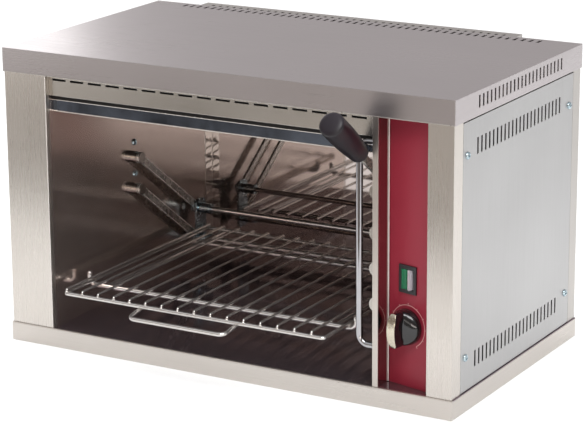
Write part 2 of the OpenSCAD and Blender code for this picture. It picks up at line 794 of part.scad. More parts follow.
module cable_gland() {
    color("#232324") translate([gland_x, back_y, deck_z + gland_z]) difference() {
        union() {
            rod_y(0, 0, 6, 0, gland_thread + 8, 6);
            rod_y(0, 6 - over / 2, 18, 0, gland_thread + 3);
            rod_y(0, -12, over, 0, gland_thread);
            rod_y(0, -sheet - 5, -sheet, 0, gland_thread + 8, 6);
        }
        rod_y(0, -13, 19, 0, gland_bore);
    }
}

module latch_strip() {
    step = lift_max / (lift_steps - 1);
    color("#b9b5b0") difference() {
        union() {
            slab(cav_r - latch_t, cav_r, latch_y, latch_y + latch_d, guard_lo + guard_end, latch_top);
            for (k = [0 : lift_steps - 2])
                rod_y(tooth_x, latch_y, latch_y + latch_d, lever_z(latch_y + latch_d / 2, (k + 0.5)
                    * step), 2 * tooth_r);
        }
        slab(cav_r, cav_r + 4 * tooth_r, latch_y - over, latch_y + latch_d + over, 0, body_h);
    }
}

module guard_rod() {
    r = guard_bend;
    half = (guard_hi - guard_lo - 2 * r + over) / 2;
    leg = cav_r - guard_x - r;
    color("#d7d8da") translate([guard_x, guard_y, 0]) union() {
        translate([r, 0, guard_hi - r]) rotate([90, 0, 0]) rotate([0, 0, 90]) elbow(r, guard_d, leg, half);
        translate([r, 0, guard_lo + r]) rotate([90, 0, 0]) rotate([0, 0, 180]) elbow(r, guard_d, half, leg);
    }
}

// One pivot stud along +X, with its bush seated on a wall at the origin
module stud(off) {
    rod_x(-sheet - 7, 0, 0, 0, tail_d);
    rod_x(0, off - side_play, 0, 0, bush_d);
    rod_x(off - side_play, off + arm_t + side_play, 0, 0, stud_d);
    rod_x(off + arm_t + side_play, off + arm_t + side_play + stud_head_h, 0, 0, stud_head_d);
}

module pivot_studs() {
    color("#c4c0ba") for (z = [pivot_lo, pivot_hi]) {
        translate([cav_l, pivot_y, z]) union() { stud(arm_off_l); }
        translate([cav_r, pivot_y, z]) mirror([1, 0, 0]) union() { stud(arm_off_r); }
    }
}

module stud_nuts() {
    color("#a9a7a3") for (z = [pivot_lo, pivot_hi]) {
        translate([cav_l, pivot_y, z]) ring_nut(-sheet - 5);
        translate([cav_r, pivot_y, z]) ring_nut(sheet);
    }
}

// A hexagon nut 5 long on a stud's tail, from x0
module ring_nut(x0) {
    difference() {
        rod_x(x0, x0 + 5, 0, 0, tail_d + 5, 6);
        rod_x(x0 - over, x0 + 5 + over, 0, 0, tail_d + 2 * fix_play);
    }
}

// A flat arm in the plane x to x + arm_t, pivoting at height z, reaching fwd ahead of its pivot
module arm(x, z, fwd) {
    translate([x, pivot_y, z]) rotate([-lift_deg, 0, 0]) difference() {
        union() {
            slab(0, arm_t, 0, arm_len, -arm_w / 2, arm_w / 2);
            if (fwd > 0) slab(0, arm_t, -fwd, 0, -arm_w / 2, arm_w / 2);
            if (fwd > 0) slab(0, arm_t, -fwd - grip_l * 0.6, -fwd + over, -tang_w / 2, tang_w / 2);
            rod_x(0, arm_t, 0, 0, eye_d);
            rod_x(0, arm_t, arm_len, 0, eye_d);
        }
        rod_x(-over, arm_t + over, 0, 0, stud_d + 2 * run_play);
        rod_x(-over, arm_t + over, arm_len, 0, rod_d + 2 * run_play);
    }
}

module arm_upper_left() { color("#8f8a86") arm(arm_xl, pivot_hi, 0); }
module arm_lower_left() { color("#8f8a86") arm(arm_xl, pivot_lo, 0); }
module arm_upper_right() { color("#8f8a86") arm(arm_xr, pivot_hi, 0); }
module lever() { color("#8f8a86") arm(arm_xr, pivot_lo, lever_reach - grip_l); }

module grip() {
    straight = grip_l - grip_end;
    body = [for (i = [0 : 12]) [grip_r(i / 12 * straight), i / 12 * straight]];
    tip = [for (i = [1 : 6]) [grip_r(straight) * grip_round(sin(15 * i)), straight + grip_end * sin(15 * i)]];
    color("#1d1b20") translate([arm_xr + arm_t / 2, pivot_y, pivot_lo]) rotate([-lift_deg, 0, 0])
        translate([0, -(lever_reach - grip_l), 0]) difference() {
            rotate([90, 0, 0]) rotate_extrude() polygon(concat([[0, 0]], body, tip));
            slab(-arm_t / 2 - tang_play, arm_t / 2 + tang_play, -grip_l * 0.6 - seat, over,
                 -tang_w / 2 - tang_play, tang_w / 2 + tang_play);
        }
}

// A coupler plate from x, with chamfered corners and a bore for each cross rod
module coupler(x) {
    c = 5;
    y0 = carry_y - coupler_front;
    y1 = carry_y + coupler_back;
    z0 = carry_lo - coupler_end;
    z1 = carry_hi + coupler_end;
    difference() {
        translate([x, 0, 0]) rotate([90, 0, 90]) linear_extrude(coupler_t)
            polygon([[y0 + c, z0], [y1 - c, z0], [y1, z0 + c], [y1, z1 - c], [y1 - c, z1], [y0 + c, z1],
                [y0, z1 - c], [y0, z0 + c]]);
        for (z = [carry_lo, carry_hi]) rod_x(x - over, x + coupler_t + over, carry_y, z,
            rod_d + 2 * fix_play);
    }
}

module coupler_left() { color("#aeb4b8") coupler(coupler_xl); }
module coupler_right() { color("#aeb4b8") coupler(coupler_xr); }

// A cross rod through both couplers and both arms, with a threaded end for each nut
module cross_rod(z) {
    rod_x(arm_xl - side_play - nut_t - 1, arm_xr + arm_t + side_play + nut_t + 1, carry_y, z, rod_d);
}

module cross_rod_upper() { color("#d2d3d5") cross_rod(carry_hi); }
module cross_rod_lower() { color("#d2d3d5") cross_rod(carry_lo); }

module rod_collars() {
    color("#b7bbbe") for (z = [carry_lo, carry_hi]) for (x = [coupler_xl + coupler_t,
        coupler_xr - collar_l]) difference() {
        rod_x(x, x + collar_l, carry_y, z, collar_d);
        rod_x(x - over, x + collar_l + over, carry_y, z, rod_d + 2 * fix_play);
    }
}

module rod_nuts() {
    nut_d = nut_w / cos(30);
    color("#b7bbbe") for (z = [carry_lo, carry_hi]) for (x = [arm_xl - side_play - nut_t,
        arm_xr + arm_t + side_play]) difference() {
        rod_x(x, x + nut_t, carry_y, z, nut_d, 6);
        rod_x(x - over, x + nut_t + over, carry_y, z, rod_d + 2 * fix_play);
    }
}

module carrier_rods() {
    color("#cfd0d2") for (x = [bar_xl, bar_xr]) rod_y(x, front_y, peg_y + peg_d, bar_z, bar_d);
}

module carrier_pegs() {
    color("#cfd0d2") for (x = [bar_xl, bar_xr]) rod_z(x, peg_y, bar_z, bar_z + peg_h, peg_d);
}

module carrier_front_rod() {
    r = front_bend;
    half = (guide_xr - guide_xl - 2 * r + over) / 2;
    color("#cfd0d2") translate([0, front_y, front_z]) union() {
        translate([guide_xl + r, 0, r]) rotate([90, 0, 0]) rotate([0, 0, 180]) elbow(r, front_d,
            guide_h - r, half);
        translate([guide_xr - r, 0, r]) rotate([90, 0, 0]) rotate([0, 0, 270]) elbow(r, front_d, half,
            guide_h - r);
    }
}

module carrier_rear_rod() {
    color("#cfd0d2") rod_x(bar_xl - rear_over, bar_xr + rear_over, carry_y - rear_set, front_z, front_d);
}

module rack_rim() {
    r = rim_bend;
    half_x = (rack_x1 - rack_x0 - 2 * r + over) / 2;
    half_y = (rack_y1 - rack_y0 - 2 * r + over) / 2;
    color("#d5d4d2") translate([0, 0, rim_z]) union() {
        translate([rack_x1 - r, rack_y1 - r, 0]) elbow(r, rim_d, half_y, half_x);
        translate([rack_x0 + r, rack_y1 - r, 0]) rotate([0, 0, 90]) elbow(r, rim_d, half_x, half_y);
        translate([rack_x0 + r, rack_y0 + r, 0]) rotate([0, 0, 180]) elbow(r, rim_d, half_y, half_x);
        translate([rack_x1 - r, rack_y0 + r, 0]) rotate([0, 0, 270]) elbow(r, rim_d, half_x, half_y);
    }
}

module rack_wires() {
    r = wire_bend;
    half = (rack_y1 - rack_y0 - 2 * r + over) / 2;
    drop = wire_rise - r - rim_d / 2 + weld;
    color("#c9c7c4") for (i = [0 : wire_n - 1]) translate([rack_x0 + wire_first + i * wire_pitch, 0,
        wire_z - r]) union() {
        translate([0, rack_y0 + r, 0]) rotate([0, -90, 0]) rotate([0, 0, 270]) elbow(r, wire_d, drop,
            half, 24);
        translate([0, rack_y1 - r, 0]) rotate([0, -90, 0]) elbow(r, wire_d, half, drop, 24);
    }
}

module rack_handle() {
    r = 9;
    half = handle_w / 2;
    reach = handle_reach / cos(handle_deg);
    leg = reach - r + rim_d / 2 + 2;
    bar = half - r + over / 2;
    color("#d5d4d2") translate([rack_mid - handle_shift, rack_y0, rim_z - rim_d + weld])
        rotate([handle_deg, 0, 0]) union() {
        translate([-half + r, -reach + r, 0]) rotate([0, 0, 180]) elbow(r, rim_d, leg, bar);
        translate([half - r, -reach + r, 0]) rotate([0, 0, 270]) elbow(r, rim_d, bar, leg);
    }
}

module side_screws() {
    color("#c9d2d6") for (y = screw_y) for (z = screw_z)
        translate([post_x, y, z]) rotate([0, 90, 0]) screw(6);
}

module wall_screws() {
    color("#b9c4c6") for (z = [pivot_lo + 18, pivot_hi + 18]) {
        translate([cav_l, pivot_y + 3, z]) rotate([0, 90, 0]) screw(6);
        translate([cav_r, pivot_y + 3, z]) rotate([0, -90, 0]) screw(6);
    }
}

module lid_screws() {
    color("#c9d2d6") for (s = [-1, 1]) translate([s * (hw - lid_screw_set), yr, lid_z + lid_skirt / 2])
        rotate([-90, 0, 0]) screw(6);
}

base_tray();
deck();
lid();
left_shell();
right_post();
side_panel();
rear_panel();
rear_duct();
cavity_left_wall();
cavity_right_wall();
cavity_rear_wall();
roof_reflector();
valance();
front_rail();
heating_elements();
element_terminals();
element_hangers();
control_panel();
switch_body();
switch_rocker();
regulator();
regulator_shaft();
knob();
knob_face();
terminal_block();
terminal_screws();
cable_gland();
latch_strip();
guard_rod();
pivot_studs();
stud_nuts();
arm_upper_left();
arm_lower_left();
arm_upper_right();
lever();
grip();
coupler_left();
coupler_right();
cross_rod_upper();
cross_rod_lower();
rod_collars();
rod_nuts();
carrier_rods();
carrier_pegs();
carrier_front_rod();
carrier_rear_rod();
rack_rim();
rack_wires();
rack_handle();
side_screws();
wall_screws();
lid_screws();
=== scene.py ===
"""Looks of a countertop salamander grill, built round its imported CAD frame.

The CAD nodes keep their shapes and places and get procedural finishes. Bent wire, turned and moulded
pieces are replaced by smooth surfaces that are worked out on grids, and small trim is added.
Sizes in the classes are millimetres, apart from the studio's, and the meshes are metres.
"""
from __future__ import annotations

import json
import logging
from dataclasses import dataclass
from enum import Enum
from typing import Sequence

import bpy
import numpy as np
from mathutils import Matrix, Vector

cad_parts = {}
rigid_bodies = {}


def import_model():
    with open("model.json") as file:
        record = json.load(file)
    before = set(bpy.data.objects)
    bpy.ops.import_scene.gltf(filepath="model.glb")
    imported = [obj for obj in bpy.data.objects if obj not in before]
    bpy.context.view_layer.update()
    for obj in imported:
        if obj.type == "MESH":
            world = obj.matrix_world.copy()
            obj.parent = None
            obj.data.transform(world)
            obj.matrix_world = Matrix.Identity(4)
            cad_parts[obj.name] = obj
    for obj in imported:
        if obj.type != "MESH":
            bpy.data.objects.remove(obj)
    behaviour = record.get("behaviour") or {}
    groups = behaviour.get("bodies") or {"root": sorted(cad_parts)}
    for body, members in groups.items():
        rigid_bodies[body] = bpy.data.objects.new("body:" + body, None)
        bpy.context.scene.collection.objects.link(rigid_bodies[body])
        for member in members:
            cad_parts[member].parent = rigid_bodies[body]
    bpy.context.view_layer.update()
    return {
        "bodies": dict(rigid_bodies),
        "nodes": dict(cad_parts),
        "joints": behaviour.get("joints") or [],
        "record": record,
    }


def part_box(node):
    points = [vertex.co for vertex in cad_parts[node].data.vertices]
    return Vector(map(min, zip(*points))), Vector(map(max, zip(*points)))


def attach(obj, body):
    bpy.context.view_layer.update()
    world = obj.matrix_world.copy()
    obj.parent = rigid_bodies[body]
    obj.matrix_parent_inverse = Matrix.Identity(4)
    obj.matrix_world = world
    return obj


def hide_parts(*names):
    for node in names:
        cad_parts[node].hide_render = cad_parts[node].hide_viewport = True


LOG = logging.getLogger("salamander")
MM = 0.001
M_IN_MM = 1000
# Rings of a rounded wire end: their places along the rounded length, and the radii of the outer two
END_STEPS = (0.0, 0.35, 1.0)
END_RADII = (0.62, 0.9)
# Power of a soft bar's squared oval, and the angle past which a smooth piece has a crease
BAR_POWER = 8
CREASE_DEG = 40
# Range that noise mostly keeps to, and the samples of an edge that is rounded in the shading
NOISE_ENDS = (0.3, 0.7)
EDGE_SAMPLES = 4
Array = np.ndarray
Part = tuple[Array, list[list[int]]]
Colour = tuple[float, float, float, float]
Socket = bpy.types.NodeSocket


class Grain(Enum):
    """Direction that a sheet was brushed or rolled in."""

    ALONG_X = (1, 0, 0)
    ALONG_Y = (0, 1, 0)
    ALONG_Z = (0, 0, 1)


class Body(Enum):
    """CAD bodies that new pieces ride on."""

    CASING = "casing"
    LEVER = "lever"
    ARM_UPPER_LEFT = "arm_upper_left"
    ARM_LOWER_LEFT = "arm_lower_left"
    ARM_UPPER_RIGHT = "arm_upper_right"
    CARRIER = "carrier"
    RACK = "rack"
    KNOB = "knob"


def linear(hex_value: str) -> Colour:
    """Turn an sRGB hex colour into linear light.

    Args:
        hex_value: colour such as "#c8c4be".

    Returns:
        Linear red, green, blue and an alpha of 1.
    """
    channels = np.array([int(hex_value[i:i + 2], 16) for i in (1, 3, 5)]) / 255
    light = np.where(channels <= 0.04045, channels / 12.92, ((channels + 0.055) / 1.055) ** 2.4)
    return (float(light[0]), float(light[1]), float(light[2]), 1.0)


def feed(tree: bpy.types.NodeTree, socket: Socket, value: object) -> None:
    """Link an output socket to an input socket, or set the input to a constant.

    Args:
        tree: node tree that both are in.
        socket: the input.
        value: the output socket or the constant.
    """
    if isinstance(value, Socket):
        tree.links.new(value, socket)
    else:
        socket.default_value = value


def add_node(tree: bpy.types.NodeTree, kind: str, settings: dict | None = None,
             inputs: dict | None = None) -> bpy.types.Node:
    """Add one shader node with its settings and its inputs.

    Args:
        tree: node tree that gets the node.
        kind: Blender's name of the node type.
        settings: attributes of the node.
        inputs: socket name or index to a constant, or to an output socket that is linked to it.

    Returns:
        The new node.
    """
    node = tree.nodes.new(kind)
    for key, value in (settings or {}).items():
        setattr(node, key, value)
    for key, value in (inputs or {}).items():
        feed(tree, node.inputs[key], value)
    return node


def empty_material(name: str) -> tuple[bpy.types.Material, bpy.types.NodeTree]:
    """Make a material without nodes.

    Args:
        name: the material's name.

    Returns:
        The material and its node tree.
    """
    material = bpy.data.materials.new(name)
    material.use_nodes = True
    material.node_tree.nodes.clear()
    return material, material.node_tree


def grid_faces(rows: int, cols: int, close_rows: bool = False, close_cols: bool = False) -> list[list[int]]:
    """Number the quads of a grid of points stored row by row.

    Args:
        rows: number of rows.
        cols: number of points in a row.
        close_rows: join the last row to the first.
        close_cols: join the last column to the first.

    Returns:
        One list of four point numbers for each quad.
    """
    row_count = rows if close_rows else rows - 1
    col_count = cols if close_cols else cols - 1
    i, j = np.meshgrid(np.arange(row_count), np.arange(col_count), indexing="ij")
    down, right = (i + 1) % rows, (j + 1) % cols
    quads = np.stack([i * cols + j, i * cols + right, down * cols + right, down * cols + j], axis=-1)
    return quads.reshape(-1, 4).tolist()


def join_parts(parts: Sequence[Part]) -> Part:
    """Put several meshes into one.

    Args:
        parts: points and faces of each mesh.

    Returns:
        All points, and all faces with shifted numbers.
    """
    starts = np.cumsum([0] + [len(points) for points, _ in parts])
    faces = [[n + int(start) for n in face] for start, (_, fs) in zip(starts, parts) for face in fs]
    return np.concatenate([points for points, _ in parts]), faces


def ring_stack(rings: Array) -> Part:
    """Skin a stack of closed rings and cap both ends.

    Args:
        rings: array of shape (rings, points in a ring, 3), going round the stack's direction anticlockwise.

    Returns:
        Points and faces of the closed skin.
    """
    rows, cols = rings.shape[:2]
    faces = grid_faces(rows, cols, close_cols=True)
    faces.append(list(range(cols))[::-1])
    faces.append(list(range((rows - 1) * cols, rows * cols)))
    return rings.reshape(-1, 3), faces


def bent_path(corners: Array, radius: float, steps: int = 8, closed: bool = False) -> Array:
    """Round the corners of a bent wire's centre line.

    Each corner is replaced by an arc that touches both legs: points c + r (cos a, sin a) in the corner's
    own plane.

    Args:
        corners: corner points, with the free ends first and last unless closed.
        radius: bend radius of the centre line.
        steps: number of steps in each arc.
        closed: the wire is a loop.

    Returns:
        Points along the rounded centre line.
    """
    count = len(corners)
    runs: list[Array] = []
    for k in range(count):
        if not closed and k in (0, count - 1):
            runs.append(corners[k][None])
            continue
        here = corners[k]
        back = corners[k - 1] - here
        ahead = corners[(k + 1) % count] - here
        back = back / np.linalg.norm(back)
        ahead = ahead / np.linalg.norm(ahead)
        half = np.arccos(np.clip(back @ ahead, -1, 1)) / 2
        middle = (back + ahead) / np.linalg.norm(back + ahead)
        centre = here + middle * radius / np.sin(half)
        start = here + back * radius / np.tan(half) - centre
        angle = np.linspace(0, np.pi - 2 * half, steps + 1)[:, None]
        runs.append(centre + np.cos(angle) * start - np.sin(angle) * radius * back)
    return np.concatenate(runs)


def wire_tube(path: Array, flat: Array, diameter: float, sides: int = 16, closed: bool = False,
              rounded: float = 0.0) -> Part:
    """Carry a circle along a plane path.

    The circle lies across the tangent t, between the plane's normal n and b = t x n.

    Args:
        path: points of the centre line.
        flat: normal of the plane that the path lies in.
        diameter: the wire's diameter.
        sides: points round the circle.
        closed: the path is a loop.
        rounded: length over which the free ends round off.

    Returns:
        Points and faces of the tube.
    """
    if rounded and not closed:
        first = path[0] - path[1]
        last = path[-1] - path[-2]
        share = np.array(END_STEPS)[:, None] * rounded
        head = path[0] - share * first / np.linalg.norm(first)
        tail = path[-1] - share[::-1] * last / np.linalg.norm(last)
        path = np.concatenate([head, path[1:-1], tail])
    if closed:
        tangent = np.roll(path, -1, 0) - np.roll(path, 1, 0)
    else:
        tangent = np.gradient(path, axis=0)
    tangent = tangent / np.linalg.norm(tangent, axis=1, keepdims=True)
    flat = flat / np.linalg.norm(flat)
    across = np.cross(tangent, flat)
    angle = np.linspace(0, 2 * np.pi, sides, endpoint=False)[None, :, None]
    radius = np.full((len(path), 1, 1), diameter / 2)
    if rounded and not closed:
        radius[[0, -1]] *= END_RADII[0]
        radius[[1, -2]] *= END_RADII[1]
    rings = path[:, None] + radius * (np.cos(angle) * flat - np.sin(angle) * across[:, None])
    if closed:
        return rings.reshape(-1, 3), grid_faces(len(path), sides, close_rows=True, close_cols=True)
    return ring_stack(rings)


def soft_bar(low: Array, high: Array, along: int) -> Part:
    """Carry a squared oval, |u|^8 + |v|^8 = 1, along one axis between two corners.

    Args:
        low: lowest corner.
        high: highest corner.
        along: number of the axis.

    Returns:
        Points and faces of the bar.
    """
    angle = np.linspace(0, 2 * np.pi, 32, endpoint=False)
    u, v = (np.sign(f) * np.abs(f) ** (2 / BAR_POWER) for f in (np.cos(angle), np.sin(angle)))
    middle, half = (low + high) / 2, (high - low) / 2
    rings = np.empty((2, len(angle), 3))
    across, over = (along + 1) % 3, (along + 2) % 3
    rings[..., across] = middle[across] + half[across] * u
    rings[..., over] = middle[over] + half[over] * v
    rings[..., along] = np.array([low[along], high[along]])[:, None]
    return ring_stack(rings)


def square_axes(axis: Array) -> tuple[Array, Array]:
    """Find two directions at right angles to an axis and to each other, as cross products with a helper.

    Args:
        axis: a direction of length 1.

    Returns:
        The two directions, u and v = axis x u.
    """
    helper = np.array([0.0, 0.0, 1.0]) if abs(axis[2]) < 0.9 else np.array([1.0, 0.0, 0.0])
    u = np.cross(helper, axis)
    u = u / np.linalg.norm(u)
    return u, np.cross(axis, u)


def turned(profile: Array, origin: Array, axis: Array, sides: int = 40) -> Part:
    """Turn a profile about an axis.

    The point (r, h) becomes origin + h axis + r (cos a u + sin a v), with u, v and axis at right angles.

    Args:
        profile: rows of radius and height, from one end to the other.
        origin: point on the axis at height 0.
        axis: direction of the axis.
        sides: points round the axis.

    Returns:
        Points and faces of the closed skin.
    """
    axis = axis / np.linalg.norm(axis)
    u, v = square_axes(axis)
    angle = np.linspace(0, 2 * np.pi, sides, endpoint=False)[None, :, None]
    radius = profile[:, 0][:, None, None]
    height = profile[:, 1][:, None, None]
    return ring_stack(origin + height * axis + radius * (np.cos(angle) * u + np.sin(angle) * v))


@dataclass(frozen=True)
class PanScrew:
    """A screw with a pan head, a cross recess in it, and a plain shank with a blunt tip.

    The recess is given in shares of the head's radius and height.
    """

    head_d: float = 9.0
    head_h: float = 2.6
    arm_long: float = 0.52
    arm_wide: float = 0.13
    arm_edge: float = 1.25
    arm_slope: float = 0.3
    sink: float = 0.6
    shank_d: float = 4.0
    tip_d: float = 3.2
    tip_len: float = 0.5

    def head(self, seat: Array, axis: Array) -> Part:
        """Shape the head as a height over a polar grid.

        The dome is h sqrt(1 - (r/R)^4), and the recess sinks where a point lies in one of the cross's
        two arms.

        Args:
            seat: middle of the head's seat.
            axis: direction that the head points in.

        Returns:
            Points and faces of the head, closed at its seat.
        """
        u, v = square_axes(axis)
        share = np.concatenate([[1.0], np.linspace(1, 0.02, 26)])[:, None]
        angle = np.linspace(0, 2 * np.pi, 72, endpoint=False)[None, :]
        x, y = share * np.cos(angle), share * np.sin(angle)
        dome = self.head_h * np.sqrt(np.clip(1 - share ** 4, 0, 1)) * np.ones_like(x)
        level_arm = np.maximum(np.abs(x) / self.arm_long, np.abs(y) / self.arm_wide)
        upright_arm = np.maximum(np.abs(x) / self.arm_wide, np.abs(y) / self.arm_long)
        sunk = np.clip((self.arm_edge - np.minimum(level_arm, upright_arm)) / self.arm_slope, 0, 1)
        level = dome - self.sink * self.head_h * sunk
        level[0] = 0
        around = self.head_d / 2 * (x[..., None] * u + y[..., None] * v)
        return ring_stack(seat + level[..., None] * axis + around)

    def shank(self, seat: Array, axis: Array, tail: float) -> Part:
        """Turn the shank from its tip to the head's seat.

        Args:
            seat: middle of the head's seat.
            axis: direction that the head points in.
            tail: height of the tip over the seat, below 0.

        Returns:
            Points and faces of the shank.
        """
        r = self.shank_d / 2
        profile = np.array([[self.tip_d / 2, tail], [r, tail + self.tip_len], [r, 0.0]])
        return turned(profile, seat, axis, 20)


class Surface:
    """A material while it is made: its node tree, its Principled shader and its Object coordinates."""

    def __init__(self, name: str) -> None:
        """Start the material with one Principled shader.

        Args:
            name: the material's name.
        """
        self.material, self.tree = empty_material(name)
        self.shader = add_node(self.tree, "ShaderNodeBsdfPrincipled")
        add_node(self.tree, "ShaderNodeOutputMaterial", inputs={"Surface": self.shader.outputs["BSDF"]})
        self.where = add_node(self.tree, "ShaderNodeTexCoord").outputs["Object"]

    def put(self, inputs: dict) -> None:
        """Set the shader's inputs by name, to constants or to output sockets."""
        for name, value in inputs.items():
            feed(self.tree, self.shader.inputs[name], value)

    def drawn_lines(self, grain: Grain, run_mm: float, line_mm: float, detail: float, fine: float) -> Socket:
        """Draw a noise out into lines along a grain.

        Args:
            grain: direction of the lines.
            run_mm: length of a line.
            line_mm: distance between lines.
            detail: number of finer layers in the noise.
            fine: strength of the finer layers.

        Returns:
            The lines' height.
        """
        scale = [M_IN_MM / (run_mm if along else line_mm) for along in grain.value]
        place = add_node(self.tree, "ShaderNodeMapping", inputs={"Vector": self.where, "Scale": scale})
        return add_node(self.tree, "ShaderNodeTexNoise", inputs={
            "Vector": place.outputs["Vector"], "Scale": 1.0, "Detail": detail,
            "Roughness": fine}).outputs["Fac"]

    def wiped(self, lines: Socket, share: float, cloud_mm: float, detail: float, fine: float) -> Socket:
        """Lay soft wiped clouds over lines: share times the lines, and the rest from the clouds.

        Args:
            lines: the lines' height.
            share: the lines' share.
            cloud_mm: size of a cloud.
            detail: number of finer layers in the clouds.
            fine: strength of the finer layers.

        Returns:
            Both together.
        """
        cloud = add_node(self.tree, "ShaderNodeTexNoise", inputs={
            "Vector": self.where, "Scale": M_IN_MM / cloud_mm, "Detail": detail, "Roughness": fine})
        part = add_node(self.tree, "ShaderNodeMath", {"operation": "MULTIPLY"}, {0: lines, 1: share})
        return add_node(self.tree, "ShaderNodeMath", {"operation": "MULTIPLY_ADD"},
                        {0: cloud.outputs["Fac"], 1: 1 - share, 2: part.outputs[0]}).outputs[0]

    def soft_edges(self, edge_mm: float, height: Socket, strength: float, depth_mm: float) -> None:
        """Round the edges over in the shading, and lay a fine relief over the faces.

        Args:
            edge_mm: radius of the edges.
            height: the relief's height, from 0 to 1.
            strength: how much of the relief shows.
            depth_mm: depth of the relief.
        """
        edge = add_node(self.tree, "ShaderNodeBevel", {"samples": EDGE_SAMPLES}, {"Radius": edge_mm * MM})
        relief = add_node(self.tree, "ShaderNodeBump", inputs={
            "Strength": strength, "Distance": depth_mm * MM, "Height": height, "Normal": edge.outputs[0]})
        self.put({"Normal": relief.outputs[0]})


@dataclass(frozen=True)
class Finish:
    """A material's name, the colours of its light and dark places, and its roughness."""

    name: str
    light: str
    dark: str
    roughness: float

    def vary(self, made: Surface, pattern: Socket, low: float, high: float,
             ends: tuple[float, float] = NOISE_ENDS) -> tuple[Socket, Socket]:
        """Let a pattern change the colour from dark to light, and the roughness with it.

        Args:
            made: the material.
            pattern: the pattern.
            low: roughness at the pattern's lower end.
            high: roughness at its upper end.
            ends: the pattern's ends.

        Returns:
            The colour and the roughness.
        """
        colour = add_node(made.tree, "ShaderNodeMix", {"data_type": "RGBA"},
                          {0: pattern, 6: linear(self.dark), 7: linear(self.light)})
        rough = add_node(made.tree, "ShaderNodeMapRange",
                         inputs={0: pattern, 1: ends[0], 2: ends[1], 3: low, 4: high})
        return colour.outputs[2], rough.outputs[0]

    def material(self) -> bpy.types.Material:
        """Make the finish's material; each kind of finish has its own."""
        raise NotImplementedError


@dataclass(frozen=True)
class BrushedSteel(Finish):
    """Stainless 1.4301 sheet with a brushed face: fine straight lines and soft wiped clouds.

    The lines are really about 0.1 mm apart; they are drawn line_mm apart so that they show in the render.
    """

    grain: Grain = Grain.ALONG_X
    side_grain: Grain = Grain.ALONG_Z
    line_mm: float = 0.9
    run_mm: float = 90.0
    cloud_mm: float = 140.0
    edge_mm: float = 0.9
    line_share: float = 0.55
    line_strength: float = 0.12
    line_depth_mm: float = 0.05
    rough_steps: tuple[float, float] = (0.05, -0.05)
    side_limit: float = 0.7

    def material(self) -> bpy.types.Material:
        """Make the brushed sheet, with another grain on faces that look to the sides.

        Returns:
            The material.
        """
        made = Surface(self.name)
        facing = add_node(made.tree, "ShaderNodeNewGeometry").outputs["True Normal"]
        side = add_node(made.tree, "ShaderNodeSeparateXYZ", inputs={0: facing}).outputs["X"]
        side = add_node(made.tree, "ShaderNodeMath", {"operation": "ABSOLUTE"}, {0: side}).outputs[0]
        side = add_node(made.tree, "ShaderNodeMath", {"operation": "GREATER_THAN"},
                        {0: side, 1: self.side_limit}).outputs[0]
        front, flank = (made.drawn_lines(grain, self.run_mm, self.line_mm, detail=3.0, fine=0.65)
                        for grain in (self.grain, self.side_grain))
        lines = add_node(made.tree, "ShaderNodeMix", {"data_type": "FLOAT"},
                         {0: side, 2: front, 3: flank}).outputs[0]
        both = made.wiped(lines, self.line_share, self.cloud_mm, detail=2.0, fine=0.5)
        colour, rough = self.vary(made, both, *(self.roughness + step for step in self.rough_steps))
        made.put({"Base Color": colour, "Roughness": rough, "Metallic": 1.0})
        made.soft_edges(self.edge_mm, lines, self.line_strength, self.line_depth_mm)
        return made.material


@dataclass(frozen=True)
class BrightSteel(Finish):
    """Bright annealed stainless, rolled and not brushed: mirror-like, a little wavy, tinted brown by heat.

    The rolling lines are really too fine to see; they are drawn line_mm apart so that they show.
    """

    metallic: float = 1.0
    front_y_mm: float = -168.5
    front: str = "#c4bdb6"
    front_roughness: float = 0.32
    front_fade_mm: float = 0.6
    grain: Grain = Grain.ALONG_X
    line_mm: float = 1.4
    run_mm: float = 120.0
    line_share: float = 0.35
    cloud_mm: float = 90.0
    rough_shares: tuple[float, float] = (0.7, 1.4)
    wave_mm: float = 120.0
    wave_strength: float = 0.1
    wave_depth_mm: float = 0.9
    edge_mm: float = 0.6

    def material(self) -> bpy.types.Material:
        """Make the bright sheet, with the clean colour of the casing on the faces at the front.

        Returns:
            The material.
        """
        made = Surface(self.name)
        lines = made.drawn_lines(self.grain, self.run_mm, self.line_mm, detail=2.0, fine=0.6)
        both = made.wiped(lines, self.line_share, self.cloud_mm, detail=3.0, fine=0.55)
        tint, gloss = self.vary(made, both, *(self.roughness * share for share in self.rough_shares))
        depth = add_node(made.tree, "ShaderNodeSeparateXYZ", inputs={0: made.where}).outputs["Y"]
        ahead = add_node(made.tree, "ShaderNodeMapRange", inputs={
            0: depth, 1: self.front_y_mm * MM, 2: (self.front_y_mm - self.front_fade_mm) * MM,
            3: 0.0, 4: 1.0}).outputs[0]
        colour = add_node(made.tree, "ShaderNodeMix", {"data_type": "RGBA"},
                          {0: ahead, 6: tint, 7: linear(self.front)}).outputs[2]
        rough = add_node(made.tree, "ShaderNodeMix", {"data_type": "FLOAT"},
                         {0: ahead, 2: gloss, 3: self.front_roughness}).outputs[0]
        made.put({"Base Color": colour, "Roughness": rough, "Metallic": self.metallic})
        wave = add_node(made.tree, "ShaderNodeTexNoise", inputs={
            "Vector": made.where, "Scale": M_IN_MM / self.wave_mm, "Detail": 1.0,
            "Roughness": 0.4}).outputs["Fac"]
        made.soft_edges(self.edge_mm, wave, self.wave_strength, self.wave_depth_mm)
        return made.material


